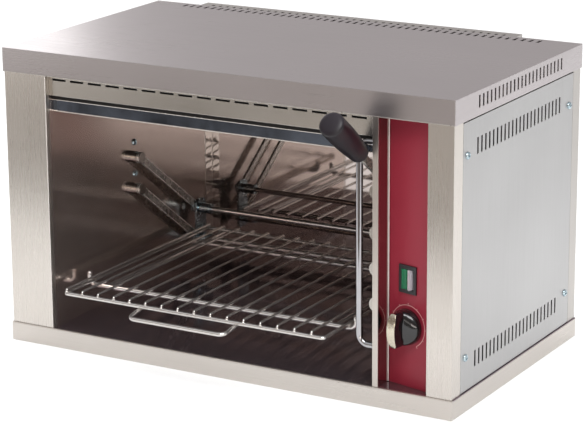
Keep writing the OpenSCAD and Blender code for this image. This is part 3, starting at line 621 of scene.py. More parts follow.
@dataclass(frozen=True)
class PlatedMetal(Finish):
    """Plated or turned metal: even colour with small patches where the plating is duller."""

    patch_mm: float = 6.0
    edge_mm: float = 0.4
    metallic: float = 1.0
    rough_shares: tuple[float, float] = (0.7, 1.35)
    patch_strength: float = 0.08
    patch_depth_mm: float = 0.04

    def material(self) -> bpy.types.Material:
        """Make the plated metal.

        Returns:
            The material.
        """
        made = Surface(self.name)
        patch = add_node(made.tree, "ShaderNodeTexNoise", inputs={
            "Vector": made.where, "Scale": M_IN_MM / self.patch_mm, "Detail": 3.0,
            "Roughness": 0.6}).outputs["Fac"]
        colour, rough = self.vary(made, patch, *(self.roughness * share for share in self.rough_shares))
        made.put({"Base Color": colour, "Roughness": rough, "Metallic": self.metallic})
        made.soft_edges(self.edge_mm, patch, self.patch_strength, self.patch_depth_mm)
        return made.material


@dataclass(frozen=True)
class EdgeHighlightBar(Finish):
    """Flat bar that was tumbled: a satin face, and edges rounded over in the shading, with a painted
    highlight along them.
    """

    # edge is the near-white colour of the painted highlight along the rounded edges
    edge: str = "#fffaf5"
    edge_mm: float = 1.1
    edge_samples: int = 16
    highlight_ends: tuple[float, float] = (0.985, 0.9)
    metallic: float = 0.8
    highlight_metallic: float = 0.15
    patch_mm: float = 10.0
    rough_shares: tuple[float, float] = (0.8, 1.2)

    def material(self) -> bpy.types.Material:
        """Make the bar; its edges, where the rounded normal leaves the true one, get a painted highlight.

        Returns:
            The material.
        """
        made = Surface(self.name)
        patch = add_node(made.tree, "ShaderNodeTexNoise", inputs={
            "Vector": made.where, "Scale": M_IN_MM / self.patch_mm, "Detail": 3.0,
            "Roughness": 0.6}).outputs["Fac"]
        face, rough = self.vary(made, patch, *(self.roughness * share for share in self.rough_shares))
        rounded = add_node(made.tree, "ShaderNodeBevel", {"samples": self.edge_samples},
                           {"Radius": self.edge_mm * MM}).outputs[0]
        facing = add_node(made.tree, "ShaderNodeNewGeometry").outputs["True Normal"]
        alike = add_node(made.tree, "ShaderNodeVectorMath", {"operation": "DOT_PRODUCT"},
                         {0: rounded, 1: facing}).outputs["Value"]
        # painted highlight: near-white, less metallic colour where the rounded normal leaves the true one
        painted_highlight = add_node(made.tree, "ShaderNodeMapRange", inputs={
            0: alike, 1: self.highlight_ends[0], 2: self.highlight_ends[1], 3: 0.0, 4: 1.0}).outputs[0]
        colour = add_node(made.tree, "ShaderNodeMix", {"data_type": "RGBA"},
                          {0: painted_highlight, 6: face, 7: linear(self.edge)}).outputs[2]
        metal = add_node(made.tree, "ShaderNodeMapRange", inputs={
            0: painted_highlight, 1: 0.0, 2: 1.0, 3: self.metallic, 4: self.highlight_metallic}).outputs[0]
        made.put({"Base Color": colour, "Roughness": rough, "Metallic": metal, "Normal": rounded})
        return made.material


@dataclass(frozen=True)
class ZincPlate(Finish):
    """Zinc plated steel: bluish, with the faint crystal patches of the plating.

    The patches are really finer; they are drawn spangle_mm wide so that they show.
    """

    spangle_mm: float = 2.5
    spangle_ends: tuple[float, float] = (0.0, 1.0)
    rough_steps: tuple[float, float] = (-0.06, 0.06)
    edge_mm: float = 0.5

    def material(self) -> bpy.types.Material:
        """Make the zinc plate from a cell pattern.

        Returns:
            The material.
        """
        made = Surface(self.name)
        cell = add_node(made.tree, "ShaderNodeTexVoronoi", inputs={
            "Vector": made.where, "Scale": M_IN_MM / self.spangle_mm, "Randomness": 1.0}).outputs["Color"]
        grey = add_node(made.tree, "ShaderNodeSeparateColor", inputs={0: cell}).outputs[0]
        colour, rough = self.vary(made, grey, *(self.roughness + step for step in self.rough_steps),
                                  self.spangle_ends)
        edge = add_node(made.tree, "ShaderNodeBevel", {"samples": EDGE_SAMPLES},
                        {"Radius": self.edge_mm * MM})
        made.put({"Base Color": colour, "Roughness": rough, "Metallic": 1.0, "Normal": edge.outputs[0]})
        return made.material


@dataclass(frozen=True)
class Lacquer(Finish):
    """Stoved lacquer on steel: even colour, a soft orange peel, and a clear gloss over it."""

    cloud_mm: float = 60.0
    rough_steps: tuple[float, float] = (-0.04, 0.05)
    peel_mm: float = 2.2
    peel_strength: float = 0.1
    peel_depth_mm: float = 0.05
    edge_mm: float = 0.5
    coat: float = 0.08
    coat_roughness: float = 0.2
    gloss: float = 0.3

    def material(self) -> bpy.types.Material:
        """Make the lacquered sheet.

        Returns:
            The material.
        """
        made = Surface(self.name)
        cloud, peel = (
            add_node(made.tree, "ShaderNodeTexNoise", inputs={
                "Vector": made.where, "Scale": M_IN_MM / size, "Detail": detail}).outputs["Fac"]
            for size, detail in ((self.cloud_mm, 2.0), (self.peel_mm, 1.0)))
        colour, rough = self.vary(made, cloud, *(self.roughness + step for step in self.rough_steps))
        made.put({"Base Color": colour, "Roughness": rough, "Coat Weight": self.coat,
                  "Coat Roughness": self.coat_roughness, "Specular IOR Level": self.gloss})
        made.soft_edges(self.edge_mm, peel, self.peel_strength, self.peel_depth_mm)
        return made.material


@dataclass(frozen=True)
class Moulding(Finish):
    """Moulded plastic: a fine eroded skin and a slight change of shade from place to place.

    The skin's grains are really about 0.1 mm wide; they are drawn skin_mm wide so that they show.
    """

    skin_mm: float = 0.6
    skin_strength: float = 0.15
    skin_depth_mm: float = 0.05
    cloud_mm: float = 18.0
    rough_shares: tuple[float, float] = (0.88, 1.12)
    edge_mm: float = 0.6
    coat: float = 0.0
    coat_roughness: float = 0.06

    def material(self) -> bpy.types.Material:
        """Make the moulded plastic.

        Returns:
            The material.
        """
        made = Surface(self.name)
        cloud, skin = (
            add_node(made.tree, "ShaderNodeTexNoise", inputs={
                "Vector": made.where, "Scale": M_IN_MM / size, "Detail": 2.0}).outputs["Fac"]
            for size in (self.cloud_mm, self.skin_mm))
        colour, rough = self.vary(made, cloud, *(self.roughness * share for share in self.rough_shares))
        made.put({"Base Color": colour, "Roughness": rough, "Coat Weight": self.coat,
                  "Coat Roughness": self.coat_roughness})
        made.soft_edges(self.edge_mm, skin, self.skin_strength, self.skin_depth_mm)
        return made.material


@dataclass(frozen=True)
class RockerLens(Finish):
    """Two moulded halves of a rocker: a clear green lens on the left, and a pale grey painted light on the
    right.
    """

    # cap is the pale grey of the right half, painted light
    cap: str = "#cbc3cb"
    split_x_mm: float = 235.1
    fade_mm: float = 0.3
    cloud_mm: float = 5.0
    rough_steps: tuple[float, float] = (0.0, 0.06)
    edge_mm: float = 0.5

    def material(self) -> bpy.types.Material:
        """Make the two halves, which meet at the rocker's middle.

        Returns:
            The material.
        """
        made = Surface(self.name)
        cloud = add_node(made.tree, "ShaderNodeTexNoise", inputs={
            "Vector": made.where, "Scale": M_IN_MM / self.cloud_mm, "Detail": 2.0}).outputs["Fac"]
        green, rough = self.vary(made, cloud, *(self.roughness + step for step in self.rough_steps))
        across = add_node(made.tree, "ShaderNodeSeparateXYZ", inputs={0: made.where}).outputs["X"]
        right = add_node(made.tree, "ShaderNodeMapRange", inputs={
            0: across, 1: (self.split_x_mm - self.fade_mm) * MM, 2: (self.split_x_mm + self.fade_mm) * MM,
            3: 0.0, 4: 1.0}).outputs[0]
        colour = add_node(made.tree, "ShaderNodeMix", {"data_type": "RGBA"},
                          {0: right, 6: green, 7: linear(self.cap)}).outputs[2]
        edge = add_node(made.tree, "ShaderNodeBevel", {"samples": EDGE_SAMPLES},
                        {"Radius": self.edge_mm * MM})
        made.put({"Base Color": colour, "Roughness": rough, "Normal": edge.outputs[0]})
        return made.material


# Casing sheets, brushed: satin grey with fine straight lines, and soft changes of light along them
LID_STEEL = BrushedSteel("stainless_brushed_lid", "#c1bbbc", "#b6b0b1", 0.30, Grain.ALONG_X, Grain.ALONG_Y,
                         edge_mm=1.4)
BASE_STEEL = BrushedSteel("stainless_brushed_base", "#d3cdc7", "#c0bab4", 0.30, Grain.ALONG_X, Grain.ALONG_Y)
POST_STEEL = BrushedSteel("stainless_brushed_post", "#d3cdc7", "#c6c0b9", 0.28, Grain.ALONG_Z, Grain.ALONG_Z)
SIDE_STEEL = BrushedSteel("stainless_brushed_side", "#b9b9b9", "#abaaaa", 0.34, Grain.ALONG_Z, Grain.ALONG_Z)
BACK_STEEL = BrushedSteel("stainless_brushed_back", "#c3bfbb", "#b1ada9", 0.34, Grain.ALONG_X, Grain.ALONG_Z)
VALANCE_STEEL = BrushedSteel("stainless_brushed_valance", "#d3cfc9", "#c5c1bb", 0.24, Grain.ALONG_X,
                             Grain.ALONG_Z, line_mm=0.5)
# Cavity sheets, bright rolled: wavy mirrors of the rack and the room, browned or blackened by heat
CAVITY_STEEL = BrightSteel("stainless_bright_cavity", "#c4b9b4", "#aea49f", 0.03, metallic=0.92)
RETURN_STEEL = BrightSteel("stainless_bright_return", "#b9a5a2", "#a5918e", 0.03)
FLANGE_STEEL = BrightSteel("stainless_mirror_flange", "#ece4dc", "#dcd4cc", 0.02, metallic=0.8)
WALL_STEEL = BrightSteel("stainless_dulled_wall", "#dccec6", "#c4b6af", 0.16, metallic=0.9, front_y_mm=-163.0)
DECK_STEEL = BrightSteel("stainless_bright_deck", "#94848a", "#7d6e75", 0.08, metallic=0.85)
ROOF_STEEL = BrightSteel("stainless_heat_darkened_roof", "#4a4340", "#352f2d", 0.35)
# Strips and folded edges, polished: thin bright lines, some painted near-white as highlights, a rail
# painted blue-grey as its reflection, and a baffle painted black as the shade behind slots
# blue-grey metal colour: the rail's dark blue reflection, painted
RAIL_REFLECTION_STEEL = PlatedMetal("rail_painted_reflection", "#747c8a", "#5c6470", 0.18, patch_mm=30.0)
LIP_STEEL = PlatedMetal("stainless_polished_lip", "#e2ddd8", "#cfc9c3", 0.22, patch_mm=8.0, edge_mm=0.2)
# black strip behind the slots and the slit: painted shade
BAFFLE_SHADE = PlatedMetal("baffle_painted_shade", "#15100f", "#0c0908", 0.6, edge_mm=0.3,
                           metallic=0.5)
HEM_STEEL = PlatedMetal("stainless_folded_hem", "#c9c4bf", "#bab5b0", 0.35, patch_mm=8.0, edge_mm=0.2)
# near-white, part-metal beads on the folds of the recess and the post: a painted highlight
TRIM_HIGHLIGHT = PlatedMetal("trim_painted_highlight", "#f2eeea", "#e6e1dc", 0.5, patch_mm=8.0, edge_mm=0.2,
                         metallic=0.6)
# near-white, hardly metallic beads along the bars' edges: a painted highlight
EDGE_BEAD_HIGHLIGHT = PlatedMetal("edge_bead_painted_highlight", "#fdf9f5", "#f1ece6", 0.3, patch_mm=8.0, edge_mm=0.2,
                         metallic=0.3)
# Heaters and turned pieces: brown oxide on the sheath, plain strip, yellow brass, grey and silvery metal
SHEATH = PlatedMetal("element_sheath_oxidised", "#6a5f58", "#3d3733", 0.5, patch_mm=9.0)
HANGER = PlatedMetal("stainless_strip_plain", "#9c958e", "#7d766f", 0.35, patch_mm=12.0)
BRASS = PlatedMetal("brass_turned", "#d4b878", "#b3924f", 0.28, patch_mm=3.0)
SHAFT_STEEL = PlatedMetal("steel_turned_shaft", "#bdbdbd", "#a2a2a2", 0.25)
KNOB_METAL = PlatedMetal("aluminium_satin_face", "#d8d0bf", "#c3baa8", 0.22, patch_mm=2.0, edge_mm=0.6)
LATCH_STEEL = PlatedMetal("steel_bright_latch", "#bdb8b2", "#a29d97", 0.2)
# Lift and rack: hard mirror lines on plated wire, satin bars with painted highlights on their edges, and
# bluish zinc
CHROME = PlatedMetal("chromium_plate_wire", "#dedad7", "#c4c0bd", 0.11, patch_mm=14.0, metallic=0.84)
GUARD_CHROME = PlatedMetal("chromium_plate_guard", "#b6b5b8", "#a3a2a5", 0.1, patch_mm=14.0)
ARM_STEEL = EdgeHighlightBar("steel_bright_flat_bar", "#cdc8c2", "#b3aea8", 0.26)
ZINC = ZincPlate("zinc_plate_bluish", "#c3d3da", "#9fb2ba", 0.22)
# Controls: a soft gloss on red lacquer, a clear green lens, and glossy or dull moulded plastics
PANEL_RED = Lacquer("red_lacquer_panel", "#98293b", "#8a2233", 0.42)
ROCKER_GREEN = RockerLens("polycarbonate_green_rocker", "#07764f", "#045c3d", 0.14)
SWITCH_BLACK = Moulding("nylon_black_switch", "#202024", "#161619", 0.38)
CREAM = Moulding("phenolic_cream", "#ded6c4", "#cbc2ae", 0.45)
KNOB_BLACK = Moulding("phenolic_gloss_knob", "#151517", "#0d0d0f", 0.12, skin_mm=2.0,
                      skin_strength=0.03, coat=0.5)
GLAND_BLACK = Moulding("nylon_black_gland", "#2a2a2c", "#1f1f21", 0.5)
GRIP_BLACK = Moulding("phenolic_black_grip", "#170e19", "#0f0811", 0.42, skin_mm=0.5, skin_strength=0.2)
PRINT = Moulding("panel_print_pale", "#dda7a6", "#cd9391", 0.5, skin_mm=1.0, skin_strength=0.02)


class Workshop:
    """Makes each finish once, adds pieces to the scene, and dresses CAD nodes."""

    def __init__(self, frame: dict) -> None:
        """Keep the loaded frame."""
        self.nodes: dict[str, bpy.types.Object] = frame["nodes"]
        self.made: dict[str, bpy.types.Material] = {}

    def finish(self, kind: Finish) -> bpy.types.Material:
        """Look up a finish's material, which is made on its first use.

        Args:
            kind: the finish.

        Returns:
            The material.
        """
        if kind.name not in self.made:
            self.made[kind.name] = kind.material()
        return self.made[kind.name]

    def dress(self, kind: Finish, *names: str) -> None:
        """Give CAD nodes a finish.

        Args:
            kind: the finish.
            names: CAD nodes that get it.
        """
        for name in names:
            node = self.nodes[name]
            if not node.material_slots:
                node.data.materials.append(None)
            for held in node.material_slots:
                held.material = self.finish(kind)
            LOG.info("dressed %s with %s", name, kind.name)

    def piece(self, name: str, part: Part, kind: Finish, body: Body, slot: str, smooth: bool = True,
              stands_for: Sequence[str] = ()) -> None:
        """Add a new piece that rides on a body.

        Args:
            name: name of the piece.
            part: points in millimetres and faces.
            kind: its finish.
            body: the CAD body that it moves with.
            slot: the record's material slot; not used.
            smooth: shade it smooth, with creases at sharp edges.
            stands_for: CAD nodes that it replaces.
        """
        points, faces = part
        mesh = bpy.data.meshes.new(name)
        mesh.from_pydata((points * MM).tolist(), [], faces)
        mesh.validate()
        mesh.materials.append(self.finish(kind))
        if smooth:
            mesh.shade_smooth()
            mesh.set_sharp_from_angle(angle=np.radians(CREASE_DEG))
        made = bpy.data.objects.new(name, mesh)
        bpy.context.scene.collection.objects.link(made)
        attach(made, body.value)
        if stands_for:
            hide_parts(*stands_for)
        LOG.info("made %s with %d faces", name, len(faces))


def box_mm(node: str) -> tuple[Array, Array]:
    """Return a CAD node's lowest and highest corner in millimetres."""
    low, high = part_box(node)
    return np.array(low) / MM, np.array(high) / MM


@dataclass(frozen=True)
class Lamp:
    """A soft lamp: its place and the width and height of its face in metres, and its power in watts."""

    name: str
    place: tuple[float, float, float]
    size: tuple[float, float]
    power: float
    mirrored: bool = True

    def hang(self, target: tuple[float, float, float]) -> None:
        """Hang the lamp; metal shows it only if it is mirrored.

        Args:
            target: the point that it looks at.
        """
        data = bpy.data.lights.new(self.name, "AREA")
        data.shape = "RECTANGLE"
        data.size, data.size_y = self.size
        data.energy = self.power
        lamp = bpy.data.objects.new(self.name, data)
        bpy.context.scene.collection.objects.link(lamp)
        lamp.location = self.place
        lamp.visible_glossy = self.mirrored
        lamp.rotation_mode = "QUATERNION"
        lamp.rotation_quaternion = (Vector(target) - Vector(self.place)).to_track_quat("-Z", "Y")


@dataclass(frozen=True)
class Window:
    """A low bright window in front of the object, from its left end to its right one in metres."""

    name: str
    left: tuple[float, float]
    right: tuple[float, float]
    top: float
    power: float
    bottom: float = 0.05
    colour: str = "#fff8f0"

    def hang(self) -> None:
        """Hang the window; only the reflections in wires and walls show it."""
        ends = np.array([[*self.left, self.bottom], [*self.right, self.bottom]])
        corners = np.concatenate([ends, ends[::-1] + np.array([0, 0, self.top - self.bottom])])
        material, tree = empty_material(self.name)
        light = add_node(tree, "ShaderNodeEmission",
                         inputs={"Color": linear(self.colour), "Strength": self.power})
        add_node(tree, "ShaderNodeOutputMaterial", inputs={"Surface": light.outputs[0]})
        stage_sheet(self.name, corners, material, mirror_only=True)


def stage_sheet(name: str, corners: Array, material: bpy.types.Material, mirror_only: bool = False) -> None:
    """Add a flat sheet to the stage.

    Args:
        name: name of the sheet.
        corners: its four corners in metres, in order.
        material: its material.
        mirror_only: only reflections show it.
    """
    mesh = bpy.data.meshes.new(name)
    mesh.from_pydata(corners.tolist(), [], [[0, 1, 2, 3]])
    mesh.materials.append(material)
    sheet = bpy.data.objects.new(name, mesh)
    bpy.context.scene.collection.objects.link(sheet)
    if mirror_only:
        sheet.visible_camera = False
        sheet.visible_diffuse = False
        sheet.visible_shadow = False


def flat_corners(x: tuple[float, float], y: tuple[float, float], z: float) -> Array:
    """Return the four corners of a level rectangle, anticlockwise from above."""
    return np.array([[x[0], y[0], z], [x[1], y[0], z], [x[1], y[1], z], [x[0], y[1], z]])


@dataclass
class Studio:
    """Floor, light and camera, in metres."""

    camera_at: tuple[float, float, float] = (1.4061, -2.4528, 0.9460)
    camera_right: tuple[float, float, float] = (0.868125, 0.496306, -0.006264)
    camera_up: tuple[float, float, float] = (-0.127491, 0.235165, 0.963558)
    focal_px: float = 2417.26
    width_px: int = 584
    sensor_mm: float = 36.0
    clip: tuple[float, float] = (0.05, 200.0)
    target: tuple[float, float, float] = (0.0, 0.0, 0.18)
    floor_side: tuple[float, float] = (-30.0, 30.0)
    floor_paint: str = "#e6e6e6"
    floor_seen: str = "#b4b4b4"
    floor_glow: float = 0.5
    room_x: tuple[float, float] = (-6.0, 7.0)
    room_y: tuple[float, float] = (-9.0, -0.72)
    room_z: float = 0.002
    room_reach: float = 2.0
    room: tuple[tuple[float, str], ...] = (
        (-1.6, "#ffffff"), (-1.3, "#f6eee7"), (-1.0, "#857d76"), (-0.62, "#645d57"), (-0.36, "#dcd3cc"),
        (-0.1, "#8d857e"), (0.3, "#857d77"))
    sky_front: str = "#938983"
    sky_back: str = "#c3bebe"
    sky_top: str = "#dedede"
    back_range: tuple[float, float] = (-0.7, 0.5)
    top_range: tuple[float, float] = (0.25, 0.8)
    windows: tuple[Window, ...] = (
        Window("studio_window_right", (0.9, -4.4), (4.0, -2.4), top=0.6, power=5.0),
        Window("studio_window_left", (-4.5, -4.2), (0.7, -4.6), top=0.5, power=1.6))
    lamps: tuple[Lamp, ...] = (
        Lamp("key_softbox", (1.2, -1.6, 2.3), (1.6, 1.2), power=42),
        Lamp("top_softbox", (-0.2, 0.2, 2.4), (2.6, 2.0), power=75, mirrored=False),
        Lamp("left_softbox", (-2.2, 1.5, 1.0), (1.5, 1.5), power=10))

    def build(self) -> None:
        """Make the floor, the light and the camera."""
        self.floor()
        self.dark_floor()
        for window in self.windows:
            window.hang()
        self.world()
        for lamp in self.lamps:
            lamp.hang(self.target)
        self.camera()
        bpy.context.scene.view_settings.view_transform = "Standard"

    def floor(self) -> None:
        """Lay the white floor: it is lit as white paint, and shows nearly white to the eye and to metal."""
        material, tree = empty_material("studio_floor")
        paint = add_node(tree, "ShaderNodeBsdfDiffuse", inputs={"Color": linear(self.floor_paint)})
        pale = add_node(tree, "ShaderNodeBsdfDiffuse", inputs={"Color": linear(self.floor_seen)})
        glow = add_node(tree, "ShaderNodeEmission",
                        inputs={"Color": linear("#ffffff"), "Strength": self.floor_glow})
        seen = add_node(tree, "ShaderNodeAddShader", inputs={0: pale.outputs[0], 1: glow.outputs[0]})
        path = add_node(tree, "ShaderNodeLightPath")
        eye = path.outputs["Is Camera Ray"]
        for ray in ("Is Glossy Ray", "Is Transmission Ray"):
            eye = add_node(tree, "ShaderNodeMath", {"operation": "MAXIMUM"},
                           {0: eye, 1: path.outputs[ray]}).outputs[0]
        both = add_node(tree, "ShaderNodeMixShader", inputs={0: eye, 1: paint.outputs[0], 2: seen.outputs[0]})
        add_node(tree, "ShaderNodeOutputMaterial", inputs={"Surface": both.outputs[0]})
        stage_sheet("studio_floor", flat_corners(self.floor_side, self.floor_side, 0.0), material)

    def dark_floor(self) -> None:
        """Lay a dark room floor on the white one, in front of the object; only reflections show it.

        It is dark where the middle of the casing and the upright rod mirror it, with one pale band in the
        dark, and white at the far left.
        """
        material, tree = empty_material("studio_room_floor")
        where = add_node(tree, "ShaderNodeTexCoord").outputs["Object"]
        across = add_node(tree, "ShaderNodeSeparateXYZ", inputs={0: where}).outputs["X"]
        share = add_node(tree, "ShaderNodeMapRange", inputs={
            0: across, 1: -self.room_reach, 2: self.room_reach, 3: 0.0, 4: 1.0}).outputs[0]
        shade = add_node(tree, "ShaderNodeValToRGB", inputs={0: share})
        shade.color_ramp.interpolation = "EASE"
        stops = shade.color_ramp.elements
        places = [(x + self.room_reach) / (2 * self.room_reach) for x, _ in self.room]
        greys = [linear(grey) for _, grey in self.room]
        for end in (0, -1):
            stops[end].position = places[end]
            stops[end].color = greys[end]
        for place, grey in zip(places[1:-1], greys[1:-1]):
            stops.new(place).color = grey
        light = add_node(tree, "ShaderNodeEmission", inputs={"Color": shade.outputs[0], "Strength": 1.0})
        add_node(tree, "ShaderNodeOutputMaterial", inputs={"Surface": light.outputs[0]})
        stage_sheet("studio_room_floor", flat_corners(self.room_x, self.room_y, self.room_z), material,
                    mirror_only=True)

    def world(self) -> None:
        """Light the room softly: pale behind the object and overhead, darker and warmer behind the camera."""
        world = bpy.data.worlds.new("studio_room")
        bpy.context.scene.world = world
        world.use_nodes = True
        tree = world.node_tree
        tree.nodes.clear()
        way = add_node(tree, "ShaderNodeTexCoord").outputs["Generated"]
        axes = add_node(tree, "ShaderNodeSeparateXYZ", inputs={0: way})
        colour: Colour | Socket = linear(self.sky_front)
        skies = (("Y", self.back_range, self.sky_back), ("Z", self.top_range, self.sky_top))
        for axis, (start, stop), far in skies:
            share = add_node(tree, "ShaderNodeMapRange", {"interpolation_type": "SMOOTHSTEP"},
                             {0: axes.outputs[axis], 1: start, 2: stop, 3: 0.0, 4: 1.0}).outputs[0]
            colour = add_node(tree, "ShaderNodeMix", {"data_type": "RGBA"},
                              {0: share, 6: colour, 7: linear(far)}).outputs[2]
        light = add_node(tree, "ShaderNodeBackground", inputs={"Color": colour, "Strength": 1.0})
        add_node(tree, "ShaderNodeOutputWorld", inputs={"Surface": light.outputs[0]})

    def camera(self) -> None:
        """Set the camera to the photograph's view."""
        data = bpy.data.cameras.new("photo_camera")
        data.sensor_width = self.sensor_mm
        data.lens = self.sensor_mm * self.focal_px / self.width_px
        data.clip_start, data.clip_end = self.clip
        camera = bpy.data.objects.new("photo_camera", data)
        bpy.context.scene.collection.objects.link(camera)
        right = Vector(self.camera_right)
        up = Vector(self.camera_up)
        turn = Matrix((right, up, right.cross(up))).transposed().to_4x4()
        camera.matrix_world = Matrix.Translation(self.camera_at) @ turn
        bpy.context.scene.camera = camera


@dataclass
class Assembly:
    """A sub-assembly that is made in a workshop."""

    shop: Workshop

    def dress(self) -> None:
        """Give its CAD nodes their finishes."""
        raise NotImplementedError

    def build(self) -> None:
        """Add its new pieces."""
        raise NotImplementedError


@dataclass
class Casing(Assembly):
    """Folded sheets, the valance and the rail, and the screws that hold the sheets."""

    lip_d: float = 1.6
    end_gap: float = 0.3
    hem_d: float = 1.1
    hem_bend: float = 1.5
    hem_stop: float = 8.0
    post_step: float = 1.0
    post_gap: float = 0.6
    baffle_t: float = 1.0
    baffle_gap: float = 0.6
    seat_gap: float = 0.1
    screw_pitch: float = 20.0
    screw: PanScrew = PanScrew()

    def dress(self) -> None:
        """Give the sheets their brushed finishes."""
        self.shop.dress(LID_STEEL, "lid")
        self.shop.dress(BASE_STEEL, "base_tray")
        self.shop.dress(POST_STEEL, "left_shell", "right_post")
        self.shop.dress(SIDE_STEEL, "side_panel")
        self.shop.dress(BACK_STEEL, "rear_panel", "rear_duct")
        self.shop.dress(VALANCE_STEEL, "valance")
        self.shop.dress(RAIL_REFLECTION_STEEL, "front_rail")
        self.shop.dress(GLAND_BLACK, "cable_gland")
        self.shop.dress(ZINC, "side_screws", "wall_screws", "lid_screws", "stud_nuts")

    def build(self) -> None:
        """Add the rail's bright lips, the sheets' rolled hems, the baffle painted black as shade, and the
        screws.
        """
        self.rail_lips()
        self.hems()
        self.baffle()
        right, left, back = np.array([1.0, 0, 0]), np.array([-1.0, 0, 0]), np.array([0, 1.0, 0])
        self.heads("side_screws", [right])
        self.heads("lid_screws", [back])
        self.heads("wall_screws", [right, left])

    def rail_lips(self) -> None:
        """Roll a bright lip along the rail's upper and lower edge."""
        low, high = box_mm("front_rail")
        parts = []
        for z in (low[2] + self.lip_d / 2, high[2] - self.lip_d / 2):
            ends = np.array([[low[0] + self.end_gap, low[1], z], [high[0] - self.end_gap, low[1], z]])
            parts.append(wire_tube(ends, np.array([0, 0, 1.0]), self.lip_d, 12))
        self.shop.piece("rail_lips", join_parts(parts), LIP_STEEL, Body.CASING, "rail_steel")

    def baffle(self) -> None:
        """Stand a black strip behind the valance, on the rail: painted shade seen through the slots and the
        slit.
        """
        low, high = box_mm("valance")
        bottom = box_mm("front_rail")[1][2] + self.seat_gap
        top = box_mm("roof_reflector")[0][2] - self.seat_gap
        y = high[1] + self.baffle_gap
        strip = soft_bar(np.array([low[0] + self.end_gap, y, bottom]),
                         np.array([high[0] - self.end_gap, y + self.baffle_t, top]), 0)
        self.shop.piece("front_baffle", strip, BAFFLE_SHADE, Body.CASING, "cavity_steel")

    def hems(self) -> None:
        """Roll a hem along the lower edge of the lid's skirt and the inner edge of the left post."""
        low, high = box_mm("lid")
        z = low[2] + self.hem_d / 2
        x0, x1 = low[0] + self.hem_d / 2, high[0] - self.hem_d / 2
        rear = high[1] - self.hem_stop
        skirt = np.array([[x0, rear, z], [x0, low[1], z], [x1, low[1], z], [x1, rear, z]])
        hem = wire_tube(bent_path(skirt, self.hem_bend), np.array([0, 0, 1.0]), self.hem_d, 12, rounded=0.5)
        self.shop.piece("skirt_hem", hem, HEM_STEEL, Body.CASING, "lid_steel")
        wall_low, wall_high = box_mm("cavity_left_wall")
        x, y = wall_high[0] - self.hem_d / 2, wall_low[1] - self.post_step
        edge = np.array([[x, y, wall_low[2] + self.end_gap], [x, y, low[2] - self.post_gap]])
        hem = wire_tube(edge, np.array([1.0, 0, 0]), self.hem_d, 12)
        # the post's hem is near-white trim, a painted highlight along its fold
        self.shop.piece("post_hem", hem, TRIM_HIGHLIGHT, Body.CASING, "casing_steel")

    def heads(self, node: str, ways: Sequence[Array]) -> None:
        """Replace screws by ones with a pan head and a cross recess, and a plain shank behind it.

        Points of the CAD node that fall in one cell of screw_pitch belong to one screw.

        Args:
            node: the CAD node of the screws.
            ways: directions that the heads point in, one for each side that has screws.
        """
        vertices = self.shop.nodes[node].data.vertices
        points = np.empty(3 * len(vertices))
        vertices.foreach_get("co", points)
        points = points.reshape(-1, 3) / MM
        middle = (points.min(0) + points.max(0)) / 2
        parts = []
        for out in ways:
            half = points if len(ways) == 1 else points[(points - middle) @ out < 0]
            along = half @ out
            top, tail = along.max(), along.min()
            flat = half - np.outer(along, out)
            cells = np.round(flat / self.screw_pitch)
            for cell in np.unique(cells, axis=0):
                near = flat[(cells == cell).all(axis=1)]
                seat = (near.min(0) + near.max(0)) / 2 + out * (top - self.screw.head_h)
                parts.append(self.screw.head(seat, out))
                parts.append(self.screw.shank(seat, out, tail - top + self.screw.head_h))
        self.shop.piece(node + "_cross", join_parts(parts), ZINC, Body.CASING, "zinc", stands_for=[node])


@dataclass
class Cavity(Assembly):
    """Bright walls, floor and roof of the cavity, and the heating elements under the roof."""

    flange_w: float = 18.0
    flange_t: float = 0.5
    side_gap: float = 0.02
    end_gap: float = 0.3
    trim_at: tuple[float, float] = (206.6, -146.0)
    trim_w: float = 1.5
    trim_z: tuple[float, float] = (24.0, 336.0)

    def dress(self) -> None:
        """Give the cavity its bright sheets."""
        self.shop.dress(CAVITY_STEEL, "cavity_rear_wall")
        self.shop.dress(RETURN_STEEL, "cavity_right_wall")
        self.shop.dress(WALL_STEEL, "cavity_left_wall")
        self.shop.dress(ROOF_STEEL, "roof_reflector")
        self.shop.dress(DECK_STEEL, "deck")
        self.shop.dress(SHEATH, "heating_elements")
        self.shop.dress(HANGER, "element_hangers")
        self.shop.dress(BRASS, "element_terminals", "terminal_screws")
        self.shop.dress(CREAM, "terminal_block")

    def build(self) -> None:
        """Fold a painted-highlight bead along the recess's return, and a flange in the cavity's rear corner.
        """
        x, y = self.trim_at
        ends = np.array([[x, y, self.trim_z[0]], [x, y, self.trim_z[1]]])
        bead = wire_tube(ends, np.array([1.0, 0, 0]), self.trim_w, 12)
        self.shop.piece("recess_bead", bead, TRIM_HIGHLIGHT, Body.CASING, "cavity_steel")
        side, rear = box_mm("cavity_left_wall"), box_mm("cavity_rear_wall")
        roof = box_mm("roof_reflector")[0][2]
        low = np.array([side[1][0] + self.side_gap, rear[0][1] - self.flange_w, side[0][2] + self.end_gap])
        high = np.array([low[0] + self.flange_t, rear[0][1] - self.side_gap, roof - self.end_gap])
        self.shop.piece("corner_flange", soft_bar(low, high, 2), FLANGE_STEEL, Body.CASING, "cavity_steel")


